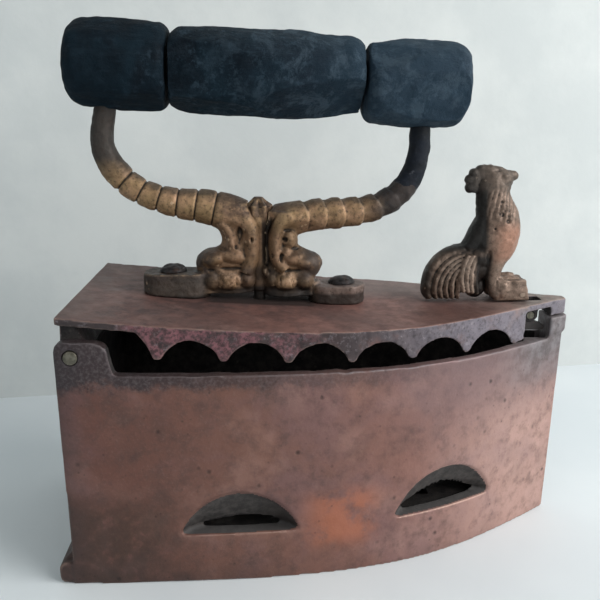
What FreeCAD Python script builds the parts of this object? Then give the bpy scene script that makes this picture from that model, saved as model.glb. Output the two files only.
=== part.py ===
import FreeCAD, Part
import math
import os

from FreeCAD import Vector as V

# Charcoal box iron with a rooster latch, built as separate castings, pins, bolts and wooden grips.
#
# Millimetres. +X runs from the heel to the nose, +Z is up, Y = 0 is the plane of symmetry.
# The origin lies on the sole's ground plane, on the centre line, at the foot of the heel wall.

# ---------------------------------------------------------------- driving dimensions
LENGTH = 200.0             # heel wall to nose
WIDTH = 93.8               # across the flanks at the heel
NOSE_WIDTH = 3.7           # flat at the tip of the nose
BULGE = 5.0                # how far the flank's control pole stands outside the heel width
BULGE_AT = 0.60            # where that pole sits, as a share of the length
TAPER_Y = 40.5             # half width of the pole that sets the taper to the nose
TAPER_AT = 0.707
BODY_POLES = ((0.0, WIDTH / 2), (BULGE_AT * LENGTH, WIDTH / 2 + BULGE),
              (TAPER_AT * LENGTH, TAPER_Y), (LENGTH, NOSE_WIDTH / 2))
DRAFT = 0.5                # the flank leans out by this much from sole to rim, each way

RIM_HEEL = 85.2            # height of the body's rim at the heel
RIM_NOSE = 81.9            # and at the nose
FLOOR = 10.0               # thickness of the sole
WALL_LOW = 8.0             # wall thickness at the floor
WALL = 4.5                 # wall thickness above WALL_EVEN_FROM
WALL_EVEN_FROM = 60.0
CAVITY_NOSE = 181.0        # the fire box ends here; ahead of it the nose is solid

EAR_TOP = 97.3             # hinge ears at the heel corners
EAR_LENGTH = 19.0
PIN_X = 6.0                # hinge axis
PIN_Z = 91.5
PIN_R = 2.5
RUNNING = 0.06             # radial clearance of a pin that something turns on

LIP_OUT = 5.6              # the sole stands out behind the heel wall
LIP_HEIGHT = 9.0
FLARE_HEIGHT = 18.0

VENT_SILL = 20.4           # half-moon draught holes, two in each flank
VENT_HEIGHT = 17.4
VENTS = ((63.4, 46.0), (145.4, 48.6))      # centre along X, width
VENT_DEPTH = 7.6           # the hood slopes in this far, down to a slit above the sill
VENT_SLIT = 1.0

POST_BACK = 192.6          # post at the nose that carries the lid
POST_TOP = 91.0
POST_PROUD = 1.2

LID_THICK = 3.0
LID_TOP_HEEL = 105.85      # the lid is dished lengthwise
LID_TOP_MID = 98.35
LID_TOP_NOSE = 98.3
LID_BACK = 0.9
LID_POLES = ((LID_BACK, WIDTH / 2 - 1.1), (136.0, WIDTH / 2 + 3.2), (127.5, 38.7),
             (LENGTH + LID_BACK, NOSE_WIDTH / 2))
SKIRT_THICK = 3.0
SKIRT_START = 25.0
SKIRT_END = 180.0
FIRST_TIP = 35.7           # scalloped skirt: tips of the lobes
TIP_PITCH = 23.2
TIP_COUNT = 7
TIP_Z_FIRST = 89.6
TIP_Z_LAST = 82.7
ARCH_RISE = 7.2

GRIP_X0 = 0.8              # the wooden grip's axis, tipped down towards the nose
GRIP_X1 = 153.6
GRIP_Z0 = 191.9
GRIP_Z1 = 183.3
CREASE_1 = 39.4
CREASE_2 = 113.0
ROD_R = 3.0
ROD_HEAD = 3.0             # length of each rod end, washer included
WASHER_R = 7.5
WASHER_THICK = 1.6
RECESS = 4.0               # counterbore in the wood for washer and rod end

ARM_PLANE = 72.0           # the two handle arms meet at this X
REAR_FOOT = (25.1, 52.0, 111.4)            # back, front, top of the foot pad
FRONT_FOOT = (92.0, 115.2, 105.6)
REAR_BOLT_X = 37.3
FRONT_BOLT_X = 105.7
FOOT_HALF_WIDTH = 8.0
BOLT_R = 3.0
HEAD_R = 5.6
HEAD_HEIGHT = 3.2
NUT_FACE = 10.0
NUT_THICK = 5.0
FOOT_WASHER_R = 7.0
WASHER_DEPTH = 1.8
REAR_BOTTOM = 102.9        # undersides of the two figures, just clear of the lid
FRONT_BOTTOM = 101.4
REAR_EYE_X = 14.6          # where the grip rod passes through each arm
FRONT_EYE_X = 136.0
# Centre line of each arm's bar: x, z, radius in the XZ plane, radius along Y.
REAR_BAR = ((66.0, 132.0, 7.6, 6.6), (58.0, 135.6, 7.4, 6.6), (48.0, 137.8, 6.6, 6.2),
            (36.0, 139.8, 5.6, 5.8), (25.5, 144.0, 5.2, 5.4), (16.8, 151.6, 5.2, 5.2),
            (12.4, 162.0, 4.5, 4.6), (13.6, 172.0, 4.2, 4.2), (14.6, 180.0, 3.8, 3.8),
            (14.6, 187.4, 3.6, 3.6))
FRONT_BAR = ((77.5, 130.0, 7.4, 6.6), (86.0, 132.4, 6.8, 6.6), (96.0, 134.0, 6.5, 6.2),
             (108.0, 134.8, 6.2, 5.8), (120.5, 137.4, 5.4, 5.4), (130.4, 144.6, 4.9, 5.0),
             (135.0, 154.0, 4.4, 4.5), (135.9, 164.0, 4.2, 4.2), (136.0, 172.0, 3.8, 3.8),
             (136.0, 180.6, 3.6, 3.6))

FINIAL_FOOT = 103.6        # crested post between the arms
FINIAL_TOP = 141.2
STUD_R = 2.5
STUD_END = 93.0
FINIAL_NUT_FACE = 8.0
FINIAL_NUT_THICK = 3.6

GRATE_BOTTOM = 15.0
GRATE_THICK = 3.5
GRATE_GAP = 1.6

LATCH_X = 184.0            # the rooster tips on a pin under the lid
LATCH_Z = 92.2
LATCH_PIN_R = 1.5
TONGUE_HALF = 2.0          # half the tongue's thickness
TONGUE_TOP = 103.4
RIVET_X = 180.3            # rivet that holds the tongue in the perch
RIVET_Z = 100.9
RIVET_R = 1.1
PERCH_BOTTOM = 98.3
PERCH_TOP = 106.4
PERCH_BACK = 166.0
PERCH_FRONT = 183.2
PERCH_HALF = 6.0
SLOT_HALF = 3.4
SLOT_BACK = 176.5
SLOT_FRONT = 189.6


# ---------------------------------------------------------------- small helpers
def box(x0, x1, y0, y1, z0, z1):
    return Part.makeBox(x1 - x0, y1 - y0, z1 - z0, V(x0, y0, z0))


def fuse(first, *others):
    for other in others:
        first = first.fuse(other)
    return first


def y_prism(wire, half):
    """A flat XZ outline given thickness, from -half to +half in Y."""
    face = Part.Face(wire)
    face.translate(V(0, -half, 0))
    return face.extrude(V(0, 2 * half, 0))


def xz(x, z):
    return V(x, 0, z)


def line(a, b):
    return Part.LineSegment(a, b).toShape()


def arc(a, b, c):
    return Part.Arc(a, b, c).toShape()


def y_cylinder(x, z, radius, y0, y1):
    return Part.makeCylinder(radius, y1 - y0, V(x, y0, z), V(0, 1, 0))


def ellipsoid(centre, rx, ry, rz, tip=0.0):
    """An egg shape; tip turns it about Y, in degrees, nose up."""
    egg = Part.makeSphere(1.0)
    matrix = FreeCAD.Matrix()
    matrix.scale(rx, ry, rz)
    egg = egg.transformGeometry(matrix)
    egg.rotate(V(0, 0, 0), V(0, -1, 0), tip)
    egg.translate(centre)
    return egg


def ring_wire(centre, across, radius_across, radius_y):
    """A smooth oval: one radius along the vector across, the other along Y."""
    count = 12
    points = []
    for i in range(count):
        angle = 2 * math.pi * i / count
        sideways = across * (radius_across * math.cos(angle))
        points.append(centre + sideways + V(0, radius_y * math.sin(angle), 0))
    curve = Part.BSplineCurve()
    curve.interpolate(Points=points, PeriodicFlag=True)
    return Part.Wire(curve.toShape())


def tube_loft(stations):
    """A round bar of changing thickness. Each station is (x, z, radius in plane, radius along Y)."""
    wires = []
    last = len(stations) - 1
    for i, (x, z, in_plane, along_y) in enumerate(stations):
        before = stations[max(i - 1, 0)]
        after = stations[min(i + 1, last)]
        across = V(after[1] - before[1], 0, before[0] - after[0]).normalize()
        wires.append(ring_wire(V(x, 0, z), across, in_plane, along_y))
    return Part.makeLoft(wires, True, False)


# ---------------------------------------------------------------- the iron's plan shape
def plan_wire(z, inset, heel_x, poles):
    """Boat-shaped outline at height z, moved in by inset along the flanks."""
    slope = math.radians(33.0)                 # half the angle at the nose
    pulls = (1.0, 1.0, 1.1, 0.0)
    half = [(x, y - inset * pull) for (x, y), pull in zip(poles, pulls)]
    half[0] = (heel_x, half[0][1])
    half[3] = (poles[3][0] - inset / math.sin(slope), NOSE_WIDTH / 2)
    left = Part.BezierCurve()
    left.setPoles([V(x, y, z) for x, y in half])
    right = Part.BezierCurve()
    right.setPoles([V(x, -y, z) for x, y in reversed(half)])
    nose = line(V(half[3][0], half[3][1], z), V(half[3][0], -half[3][1], z))
    heel = line(V(heel_x, -half[0][1], z), V(heel_x, half[0][1], z))
    return Part.Wire([left.toShape(), nose, right.toShape(), heel])


def plan_loft(z0, inset0, z1, inset1, heel_x, poles=BODY_POLES):
    wires = [plan_wire(z0, inset0, heel_x, poles), plan_wire(z1, inset1, heel_x, poles)]
    return Part.makeLoft(wires, True, True)


def rim_z(x):
    return RIM_HEEL + (RIM_NOSE - RIM_HEEL) * x / LENGTH


def flank_y(x):
    """Half width of the body at x, from the same curve as the plan outline."""
    xs, ys = zip(*BODY_POLES)
    low, high = 0.0, 1.0
    for _ in range(40):
        t = (low + high) / 2
        u = 1 - t
        here = 3 * u * u * t * xs[1] + 3 * u * t * t * xs[2] + t ** 3 * xs[3]
        low, high = (t, high) if here < x else (low, t)
    return u ** 3 * ys[0] + 3 * u * u * t * ys[1] + 3 * u * t * t * ys[2] + t ** 3 * ys[3]


# ---------------------------------------------------------------- body of the iron
def side_profile():
    """Outline of the flanks seen from the side: sole, sloping rim and hinge ear."""
    ear_r = 5.0
    heel_r = 3.6
    foot = 1.6
    front = EAR_LENGTH + foot
    k = 1 - math.sqrt(0.5)
    points = [xz(-1, 0), xz(LENGTH + 1, 0), xz(LENGTH + 1, rim_z(LENGTH + 1)), xz(front, rim_z(front)),
              xz(EAR_LENGTH, EAR_TOP - ear_r), xz(EAR_LENGTH - ear_r, EAR_TOP), xz(heel_r, EAR_TOP),
              xz(0, EAR_TOP - heel_r), xz(-1, EAR_TOP - heel_r)]
    ear_mid = xz(EAR_LENGTH - ear_r * k, EAR_TOP - ear_r * k)
    heel_mid = xz(heel_r * k, EAR_TOP - heel_r * k)
    edges = [line(points[i], points[i + 1]) for i in (0, 1, 2, 3)]
    edges.append(arc(points[4], ear_mid, points[5]))
    edges.append(line(points[5], points[6]))
    edges.append(arc(points[6], heel_mid, points[7]))
    edges.append(line(points[7], points[8]))
    edges.append(line(points[8], points[0]))
    return Part.Wire(edges)


def heel_lip():
    """Rounded edge of the sole behind the heel wall, with the concave flare above it."""
    lip = Part.Wire([
        line(xz(2, 0), xz(3 - LIP_OUT, 0)),
        arc(xz(3 - LIP_OUT, 0), xz(0.8 - LIP_OUT, 0.9), xz(-LIP_OUT, 3.2)),
        line(xz(-LIP_OUT, 3.2), xz(-LIP_OUT, 6.0)),
        arc(xz(-LIP_OUT, 6.0), xz(0.9 - LIP_OUT, 8.1), xz(3 - LIP_OUT, LIP_HEIGHT)),
        line(xz(3 - LIP_OUT, LIP_HEIGHT), xz(2, LIP_HEIGHT)),
        line(xz(2, LIP_HEIGHT), xz(2, 0))])
    flare = Part.Wire([
        line(xz(1, FLARE_HEIGHT), xz(0, FLARE_HEIGHT)),
        arc(xz(0, FLARE_HEIGHT), xz(-1.1, 12.2), xz(1.2 - LIP_OUT, 8.4)),
        line(xz(1.2 - LIP_OUT, 8.4), xz(1, 8.4)),
        line(xz(1, 8.4), xz(1, FLARE_HEIGHT))])
    return y_prism(lip, WIDTH / 2 - 1.0), y_prism(flare, WIDTH / 2 - 4.5)


def half_moon(width, height):
    """Draught hole outline in its own plane: X along the flank, Z up from the sill."""
    left = V(-width / 2, 0, 0)
    right = V(width / 2, 0, 0)
    return Part.Wire([line(left, right), arc(right, V(0, 0, height), left)])


def vent_tool(x_centre, width):
    """A hooded recess that slopes in and down, and breaks through as a slit above the sill."""
    mouth = half_moon(width, VENT_HEIGHT)
    outside = Part.Face(mouth)
    outside.translate(V(0, -5, 0))
    outside = outside.extrude(V(0, 5.4, 0))
    start = mouth.copy()
    start.translate(V(0, 0.4, 0))
    slit = half_moon(width * 0.8, VENT_SLIT)
    slit.translate(V(0, VENT_DEPTH, 0))
    tool = outside.fuse(Part.makeLoft([start, slit], True, True))
    lead = width / 2 * 0.9
    x0 = x_centre - lead
    x1 = x_centre + lead
    turn = math.degrees(math.atan2(flank_y(x0) - flank_y(x1), x1 - x0))
    tool.rotate(V(0, 0, 0), V(0, 0, 1), turn)
    middle = (flank_y(x0) + flank_y(x1) + flank_y(x_centre)) / 3
    tool.translate(V(x_centre, -middle, VENT_SILL))
    return tool


def fire_box_space():
    """The hollow inside: walls thick at the floor and thinner higher up, closed at the nose."""
    low = plan_loft(FLOOR, WALL_LOW, WALL_EVEN_FROM, WALL, 5.0)
    high = plan_loft(WALL_EVEN_FROM, WALL, EAR_TOP + 5, WALL, 5.0)
    keep = box(-1, CAVITY_NOSE, -60, 60, 0, 120)
    return low.common(keep), high.common(keep)


def make_body_shell():
    outer = plan_loft(0, DRAFT, EAR_TOP + 1, -DRAFT, 0.0)
    shell = outer.common(y_prism(side_profile(), WIDTH))
    for space in fire_box_space():
        shell = shell.cut(space)
    heel_gap = WIDTH / 2 - WALL - 0.2
    shell = shell.cut(box(-2, 6, -heel_gap, heel_gap, RIM_HEEL - 2.2, 120))
    post = outer.common(box(POST_BACK, LENGTH + 5, -20, 20, RIM_NOSE - 6, POST_TOP))
    proud = outer.common(box(POST_BACK, LENGTH + 5, -20, 20, RIM_NOSE + 2, POST_TOP))
    proud.translate(V(POST_PROUD, 0, 0))
    lip, flare = heel_lip()
    shell = fuse(shell, post, proud, lip, flare)
    shell = shell.cut(box(CAVITY_NOSE - 1, POST_BACK, -4.5, 4.5, 76, 95))
    for x_centre, width in VENTS:
        tool = vent_tool(x_centre, width)
        shell = shell.cut(tool)
        shell = shell.cut(tool.mirror(V(0, 0, 0), V(0, 1, 0)))
    shell = shell.cut(y_cylinder(PIN_X, PIN_Z, PIN_R, -60, 60))
    return shell.removeSplitter()


def make_hinge_pin():
    """Long brass pin, pressed into both ears and peened flush."""
    half = flank_y(PIN_X) + DRAFT * 0.8
    shaft = y_cylinder(PIN_X, PIN_Z, PIN_R, -half, half)
    heads = [ellipsoid(V(PIN_X, side * half, PIN_Z), PIN_R, 0.5, PIN_R) for side in (-1, 1)]
    return fuse(shaft, *heads)


# ---------------------------------------------------------------- fire grate
def make_fire_grate():
    """Loose cast grate on four short feet, with slots for the ash."""
    plate = plan_loft(GRATE_BOTTOM, WALL_LOW + GRATE_GAP, GRATE_BOTTOM + GRATE_THICK,
                      WALL_LOW + GRATE_GAP, 5.0 + GRATE_GAP)
    plate = plate.common(box(0, 158, -60, 60, 0, 60))
    slot_pitch = 12.0
    for i in range(11):
        x = 16.0 + slot_pitch * i
        reach = flank_y(x) - WALL_LOW - 9.0
        for y0, y1 in ((-reach, -2.5), (2.5, reach)):
            plate = plate.cut(box(x, x + 5.5, y0, y1, 0, 60))
    feet = []
    for x, y in ((13, 30), (13, -30), (136, 16), (136, -16)):
        feet.append(Part.makeCylinder(3.5, GRATE_BOTTOM - FLOOR + 0.5, V(x, y, FLOOR)))
    return fuse(plate, *feet)


# ---------------------------------------------------------------- lid
def dish_profile(top_drop, bottom_drop, x0, x1):
    """Side view of a layer that follows the lid's dished top, between two depths below it."""
    heel, middle, nose = (xz(-2, LID_TOP_HEEL + 0.23), xz(LENGTH / 2, LID_TOP_MID),
                          xz(LENGTH + 2, LID_TOP_NOSE + 0.15))
    low = V(0, 0, -bottom_drop)
    high = V(0, 0, -top_drop)
    band = Part.Wire([arc(heel + high, middle + high, nose + high), line(nose + high, nose + low),
                      arc(nose + low, middle + low, heel + low), line(heel + low, heel + high)])
    return y_prism(band, 60).common(box(x0, x1, -60, 60, 60, 140))


def tip_point(i):
    share = i / (TIP_COUNT - 1)
    return FIRST_TIP + TIP_PITCH * i, TIP_Z_FIRST + (TIP_Z_LAST - TIP_Z_FIRST) * share


def scallop_profile():
    """Side view of the skirt: arches between rounded tips."""
    top = 104.0
    half_tip = 1.6
    edges = []
    x, z = tip_point(0)
    start = xz(SKIRT_START, 102.5)
    edges.append(line(xz(SKIRT_START, top), start))
    edges.append(arc(start, xz(SKIRT_START + 5.4, 97.6), xz(x - half_tip, z + 0.6)))
    for i in range(TIP_COUNT - 1):
        x, z = tip_point(i)
        nx, nz = tip_point(i + 1)
        edges.append(arc(xz(x - half_tip, z + 0.6), xz(x, z), xz(x + half_tip, z + 0.6)))
        edges.append(arc(xz(x + half_tip, z + 0.6), xz((x + nx) / 2, (z + nz) / 2 + ARCH_RISE),
                         xz(nx - half_tip, nz + 0.6)))
    x, z = tip_point(TIP_COUNT - 1)
    edges.append(arc(xz(x - half_tip, z + 0.6), xz(x, z), xz(x + half_tip, z + 0.3)))
    edges.append(line(xz(x + half_tip, z + 0.3), xz(SKIRT_END, z + 0.9)))
    edges.append(line(xz(SKIRT_END, z + 0.9), xz(SKIRT_END, top)))
    edges.append(line(xz(SKIRT_END, top), xz(SKIRT_START, top)))
    return Part.Wire(edges)


def make_skirt():
    ring = plan_loft(70, 0, 110, 0, LID_BACK, LID_POLES)
    ring = ring.cut(plan_loft(69, SKIRT_THICK, 111, SKIRT_THICK, -5.0, LID_POLES))
    ring = ring.common(y_prism(scallop_profile(), 60))
    return ring.common(dish_profile(LID_THICK - 0.5, 40.0, 0, LENGTH + 2))


def hinge_barrel():
    """Flange under the heel of the lid, rolled round the hinge pin between the two ears."""
    radius = 5.0
    top = LID_TOP_HEEL - LID_THICK + 0.4
    side = Part.Wire([line(xz(PIN_X - radius, PIN_Z), xz(PIN_X - 4.4, top)),
                      line(xz(PIN_X - 4.4, top), xz(PIN_X + 1.0, top - 0.3)),
                      line(xz(PIN_X + 1.0, top - 0.3), xz(PIN_X + radius, PIN_Z)),
                      arc(xz(PIN_X + radius, PIN_Z), xz(PIN_X, PIN_Z - radius), xz(PIN_X - radius, PIN_Z))])
    return y_prism(side, WIDTH / 2 - WALL - 0.5)


def latch_lugs():
    """Two small lugs under the lid's nose that hold the latch pin."""
    back = LATCH_X - 3.4
    front = LATCH_X + 3.4
    top = 96.0
    side = Part.Wire([line(xz(back, LATCH_Z), xz(back, top)), line(xz(back, top), xz(front, top)),
                      line(xz(front, top), xz(front, LATCH_Z)),
                      arc(xz(front, LATCH_Z), xz(LATCH_X, LATCH_Z - 3.4), xz(back, LATCH_Z))])
    lugs = []
    for centre in (-5.0, 5.0):
        lug = y_prism(side, 1.6)
        lug.translate(V(0, centre, 0))
        lugs.append(lug)
    return lugs


def make_lid_plate():
    plan = plan_loft(70, 0, 120, 0, LID_BACK, LID_POLES)
    plate = plan.common(dish_profile(0.0, LID_THICK, 0, LENGTH + 2))
    nose = plan.common(dish_profile(1.0, LID_TOP_NOSE - POST_TOP - 0.3, POST_BACK + 0.6, LENGTH + 2))
    lid = fuse(plate, nose, make_skirt(), hinge_barrel())
    lid = fuse(lid, *latch_lugs())
    lid = lid.cut(box(SLOT_BACK, SLOT_FRONT, -SLOT_HALF, SLOT_HALF, 94.0, 120))
    lid = lid.cut(y_cylinder(PIN_X, PIN_Z, PIN_R + RUNNING, -60, 60))
    lid = lid.cut(y_cylinder(LATCH_X, LATCH_Z, LATCH_PIN_R, -20, 20))
    for x in (REAR_BOLT_X, FRONT_BOLT_X):
        lid = lid.cut(Part.makeCylinder(BOLT_R, 60, V(x, 0, 70)))
    lid = lid.cut(Part.makeCylinder(STUD_R, 60, V(ARM_PLANE, 0, 70)))
    return lid.removeSplitter()


# ---------------------------------------------------------------- wooden grip
def grip_z(x):
    return GRIP_Z0 + (GRIP_Z1 - GRIP_Z0) * (x - GRIP_X0) / (GRIP_X1 - GRIP_X0)


def on_grip_axis(shape):
    """Lay a shape made along +X, with its axis on Z = 0, onto the sloping grip axis."""
    tilt = math.degrees(math.atan2(GRIP_Z1 - GRIP_Z0, GRIP_X1 - GRIP_X0))
    shape.rotate(V(GRIP_X0, 0, 0), V(0, -1, 0), tilt)
    shape.translate(V(0, 0, GRIP_Z0))
    return shape


def barrel(x0, x1, end0, middle, end1, round0, round1):
    """Turned barrel along X: end radii, greatest radius, and length of each rounded end."""
    low = xz(x0, end0)
    shoulder0 = xz(x0 + round0, middle - 0.6)
    shoulder1 = xz(x1 - round1, middle - 0.6)
    high = xz(x1, end1)
    bend0 = xz(x0 + round0 * 0.32, end0 + (middle - 0.6 - end0) * 0.70)
    bend1 = xz(x1 - round1 * 0.32, end1 + (middle - 0.6 - end1) * 0.70)
    side = Part.Wire([line(xz(x0, 0), low), arc(low, bend0, shoulder0),
                      arc(shoulder0, xz((x0 + x1) / 2, middle), shoulder1),
                      arc(shoulder1, bend1, high), line(high, xz(x1, 0)), line(xz(x1, 0), xz(x0, 0))])
    return on_grip_axis(Part.Face(side).revolve(V(0, 0, 0), V(1, 0, 0), 360))


def make_grip_rod():
    """Iron rod through the three wooden pieces and both arm eyes, headed at each end."""
    x0 = GRIP_X0 + RECESS - ROD_HEAD
    x1 = GRIP_X1 - RECESS + ROD_HEAD
    dome = ROD_HEAD - WASHER_THICK
    shaft = Part.makeCylinder(ROD_R, x1 - x0, V(x0, 0, 0), V(1, 0, 0))
    near = Part.makeCone(3.6, 5.0, dome, V(x0, 0, 0), V(1, 0, 0))
    far = Part.makeCone(5.0, 3.6, dome, V(x1 - dome, 0, 0), V(1, 0, 0))
    return on_grip_axis(fuse(shaft, near, far))


def make_grip_washers():
    washers = []
    for x in (GRIP_X0 + RECESS - WASHER_THICK, GRIP_X1 - RECESS):
        disc = Part.makeCylinder(WASHER_R, WASHER_THICK, V(x, 0, 0), V(1, 0, 0))
        hole = Part.makeCylinder(ROD_R, WASHER_THICK, V(x, 0, 0), V(1, 0, 0))
        washers.append(on_grip_axis(disc.cut(hole)))
    return Part.makeCompound(washers)


def bored(block, arm):
    """Bore a wooden piece for the rod and let the arm's eye into it."""
    bore = Part.makeCylinder(ROD_R, 220, V(-20, 0, 0), V(1, 0, 0))
    block = block.cut(on_grip_axis(bore))
    if arm is not None:
        block = block.cut(arm)
    return block


def counterbored(block, x0, x1):
    recess = Part.makeCylinder(WASHER_R, x1 - x0, V(x0, 0, 0), V(1, 0, 0))
    return block.cut(on_grip_axis(recess))


# ---------------------------------------------------------------- handle arms and finial
def make_centre_finial():
    """Small crested post between the arms, with a stud through the lid."""
    radii = ((3.4, FINIAL_FOOT), (3.4, 127.0), (5.7, 134.5), (5.7, 138.0), (2.6, 140.4), (1.6, FINIAL_TOP))
    edges = [line(xz(0, FINIAL_FOOT), xz(*radii[0]))]
    for a, b in zip(radii, radii[1:]):
        edges.append(line(xz(*a), xz(*b)))
    edges.append(line(xz(*radii[-1]), xz(0, FINIAL_TOP)))
    edges.append(line(xz(0, FINIAL_TOP), xz(0, FINIAL_FOOT)))
    post = Part.Face(Part.Wire(edges)).revolve(V(0, 0, 0), V(0, 0, 1), 360)
    post.translate(V(ARM_PLANE, 0, 0))
    stud = Part.makeCylinder(STUD_R, FINIAL_FOOT + 0.4 - STUD_END, V(ARM_PLANE, 0, STUD_END))
    return fuse(post, stud)


def foot_pad(foot, bolt_x):
    back, front, top = foot
    r = FOOT_HALF_WIDTH
    pad = box(back + r, front - r, -r, r, 90, top)
    ends = [Part.makeCylinder(r, top - 90, V(x, 0, 90)) for x in (back + r, front - r)]
    pad = fuse(pad, *ends)
    pad = pad.cut(dish_profile(0.0, 40.0, -2, LENGTH + 2))
    return pad.cut(Part.makeCylinder(BOLT_R, 60, V(bolt_x, 0, 80)))


def figure(sign, bottom):
    """Lower part of an arm, waisted like a standing figure. sign -1 leans to the heel."""
    stations = ((bottom, 11.2, 9.6, 7.2), (107.0, 12.0, 10.6, 8.0), (113.5, 13.6, 12.0, 8.4),
                (117.5, 12.8, 11.4, 8.0), (121.5, 8.8, 7.6, 6.8), (125.0, 7.8, 7.0, 6.4),
                (130.0, 8.4, 7.8, 6.8), (136.0, 10.0, 8.0, 6.6))
    wires = []
    for z, offset, rx, ry in stations:
        wires.append(ring_wire(V(ARM_PLANE + sign * offset, 0, z), V(1, 0, 0), rx, ry))
    return Part.makeLoft(wires, True, False)


def rod_eye(x):
    eye = Part.makeCylinder(6.4, 7.0, V(x - 3.5, 0, 0), V(1, 0, 0))
    hole = Part.makeCylinder(ROD_R, 200, V(-20, 0, 0), V(1, 0, 0))
    return on_grip_axis(eye), on_grip_axis(hole)


def make_arm(sign, foot, bolt_x, stations, eye_x, bottom):
    """One cast arm: foot pad, waisted figure, ribbed bar that sweeps up, and an eye on the rod."""
    back, front, top = foot
    bar = tube_loft(stations)
    eye, hole = rod_eye(eye_x)
    figure_x = ARM_PLANE + sign * 12.0
    low, high = sorted((figure_x, front if sign < 0 else back))
    bridge = box(low - 4, high + 1, -6.0, 6.0, bottom, top - 0.6)
    arm = fuse(foot_pad(foot, bolt_x), bridge, figure(sign, bottom), bar, eye)
    if sign < 0:
        arm = arm.common(box(-20, ARM_PLANE - 0.02, -40, 40, 80, 230))
    else:
        arm = arm.common(box(ARM_PLANE + 0.02, 220, -40, 40, 80, 230))
    arm = arm.cut(hole)
    arm = arm.cut(make_centre_finial())
    return arm.cut(dish_profile(0.0, 40.0, -2, LENGTH + 2))


# ---------------------------------------------------------------- fasteners on the lid
def lid_under(x):
    """Height of the lid's underside at x, on the circle through its three height marks."""
    ax, az = -2.0, LID_TOP_HEEL + 0.23
    bx, bz = LENGTH / 2, LID_TOP_MID
    cx, cz = LENGTH + 2.0, LID_TOP_NOSE + 0.15
    circle = arc(xz(ax, az), xz(bx, bz), xz(cx, cz)).Curve
    centre = circle.Center
    drop = math.sqrt(circle.Radius ** 2 - (x - centre.x) ** 2)
    return centre.z - drop - LID_THICK


def foot_places():
    return ((REAR_BOLT_X, REAR_FOOT[2]), (FRONT_BOLT_X, FRONT_FOOT[2]))


def make_foot_bolts():
    bolts = []
    for x, pad_top in foot_places():
        end = lid_under(x) - WASHER_DEPTH - NUT_THICK - 1.5
        shank = Part.makeCylinder(BOLT_R, pad_top - end, V(x, 0, end))
        dome = ellipsoid(V(x, 0, pad_top), HEAD_R, HEAD_R, HEAD_HEIGHT)
        dome = dome.common(box(x - 10, x + 10, -10, 10, pad_top, pad_top + 10))
        bolts.append(fuse(shank, dome))
    return Part.makeCompound(bolts)


def make_foot_washers():
    washers = []
    for x, _ in foot_places():
        top = lid_under(x)
        disc = Part.makeCylinder(FOOT_WASHER_R, WASHER_DEPTH + 0.6, V(x, 0, top - WASHER_DEPTH))
        disc = disc.cut(dish_profile(0.0, LID_THICK, -2, LENGTH + 2))
        washers.append(disc.cut(Part.makeCylinder(BOLT_R, 10, V(x, 0, top - 5))))
    return Part.makeCompound(washers)


def make_foot_nuts():
    nuts = []
    for x, _ in foot_places():
        top = lid_under(x) - WASHER_DEPTH
        half = NUT_FACE / 2
        nut = box(x - half, x + half, -half, half, top - NUT_THICK, top)
        nuts.append(nut.cut(Part.makeCylinder(BOLT_R, 20, V(x, 0, top - 10))))
    return Part.makeCompound(nuts)


def make_finial_nut():
    top = lid_under(ARM_PLANE)
    half = FINIAL_NUT_FACE / 2
    nut = box(ARM_PLANE - half, ARM_PLANE + half, -half, half, top - FINIAL_NUT_THICK, top + 0.5)
    nut = nut.cut(dish_profile(0.0, LID_THICK, -2, LENGTH + 2))
    return nut.cut(Part.makeCylinder(STUD_R, 20, V(ARM_PLANE, 0, top - 10)))


# ---------------------------------------------------------------- rooster latch
def make_tongue():
    """Flat iron tongue: up into the perch, down to a hook behind the nose post."""
    outline = (xz(178.4, TONGUE_TOP), xz(178.4, 99.0), xz(180.4, 91.0), xz(181.6, 84.6), xz(191.9, 84.6),
               xz(191.9, 86.4), xz(188.2, 88.0), xz(187.0, 90.6), xz(185.6, 94.6), xz(182.2, 99.0),
               xz(182.2, TONGUE_TOP))
    edges = [line(a, b) for a, b in zip(outline, outline[1:] + outline[:1])]
    tongue = y_prism(Part.Wire(edges), TONGUE_HALF)
    tongue = tongue.cut(y_cylinder(LATCH_X, LATCH_Z, LATCH_PIN_R + RUNNING, -10, 10))
    return tongue.cut(y_cylinder(RIVET_X, RIVET_Z, RIVET_R, -10, 10))


def make_tongue_rivet():
    return y_cylinder(RIVET_X, RIVET_Z, RIVET_R, -PERCH_HALF - 0.2, PERCH_HALF + 0.2)


def make_latch_pin():
    return y_cylinder(LATCH_X, LATCH_Z, LATCH_PIN_R, -7.0, 7.0)


def tail_outline():
    """Fan of tail feathers, from the rump round to the lid."""
    return Part.Wire([
        arc(xz(163.0, 120.6), xz(149.6, 119.4), xz(140.0, 111.6)),
        arc(xz(140.0, 111.6), xz(140.0, 102.6), xz(146.4, 98.4)),
        line(xz(146.4, 98.4), xz(157.0, 98.6)),
        arc(xz(157.0, 98.6), xz(161.8, 102.0), xz(167.6, 100.2)),
        line(xz(167.6, 100.2), xz(172.0, 112.0)),
        line(xz(172.0, 112.0), xz(163.0, 120.6))])


def comb_outline():
    return Part.Wire([
        arc(xz(168.6, 151.4), xz(163.0, 153.0), xz(157.0, 150.6)),
        arc(xz(157.0, 150.6), xz(155.4, 146.6), xz(159.6, 143.8)),
        line(xz(159.6, 143.8), xz(166.0, 143.8)),
        line(xz(166.0, 143.8), xz(168.6, 151.4))])


def front_relief():
    """Chamfer under the perch's front edge, so that it clears the lid when the rooster tips."""
    corners = (xz(180.8, PERCH_BOTTOM - 0.3), xz(186.0, PERCH_BOTTOM - 0.3), xz(186.0, PERCH_BOTTOM + 1.9))
    return Part.Wire([line(a, b) for a, b in zip(corners, corners[1:] + corners[:1])])


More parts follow.
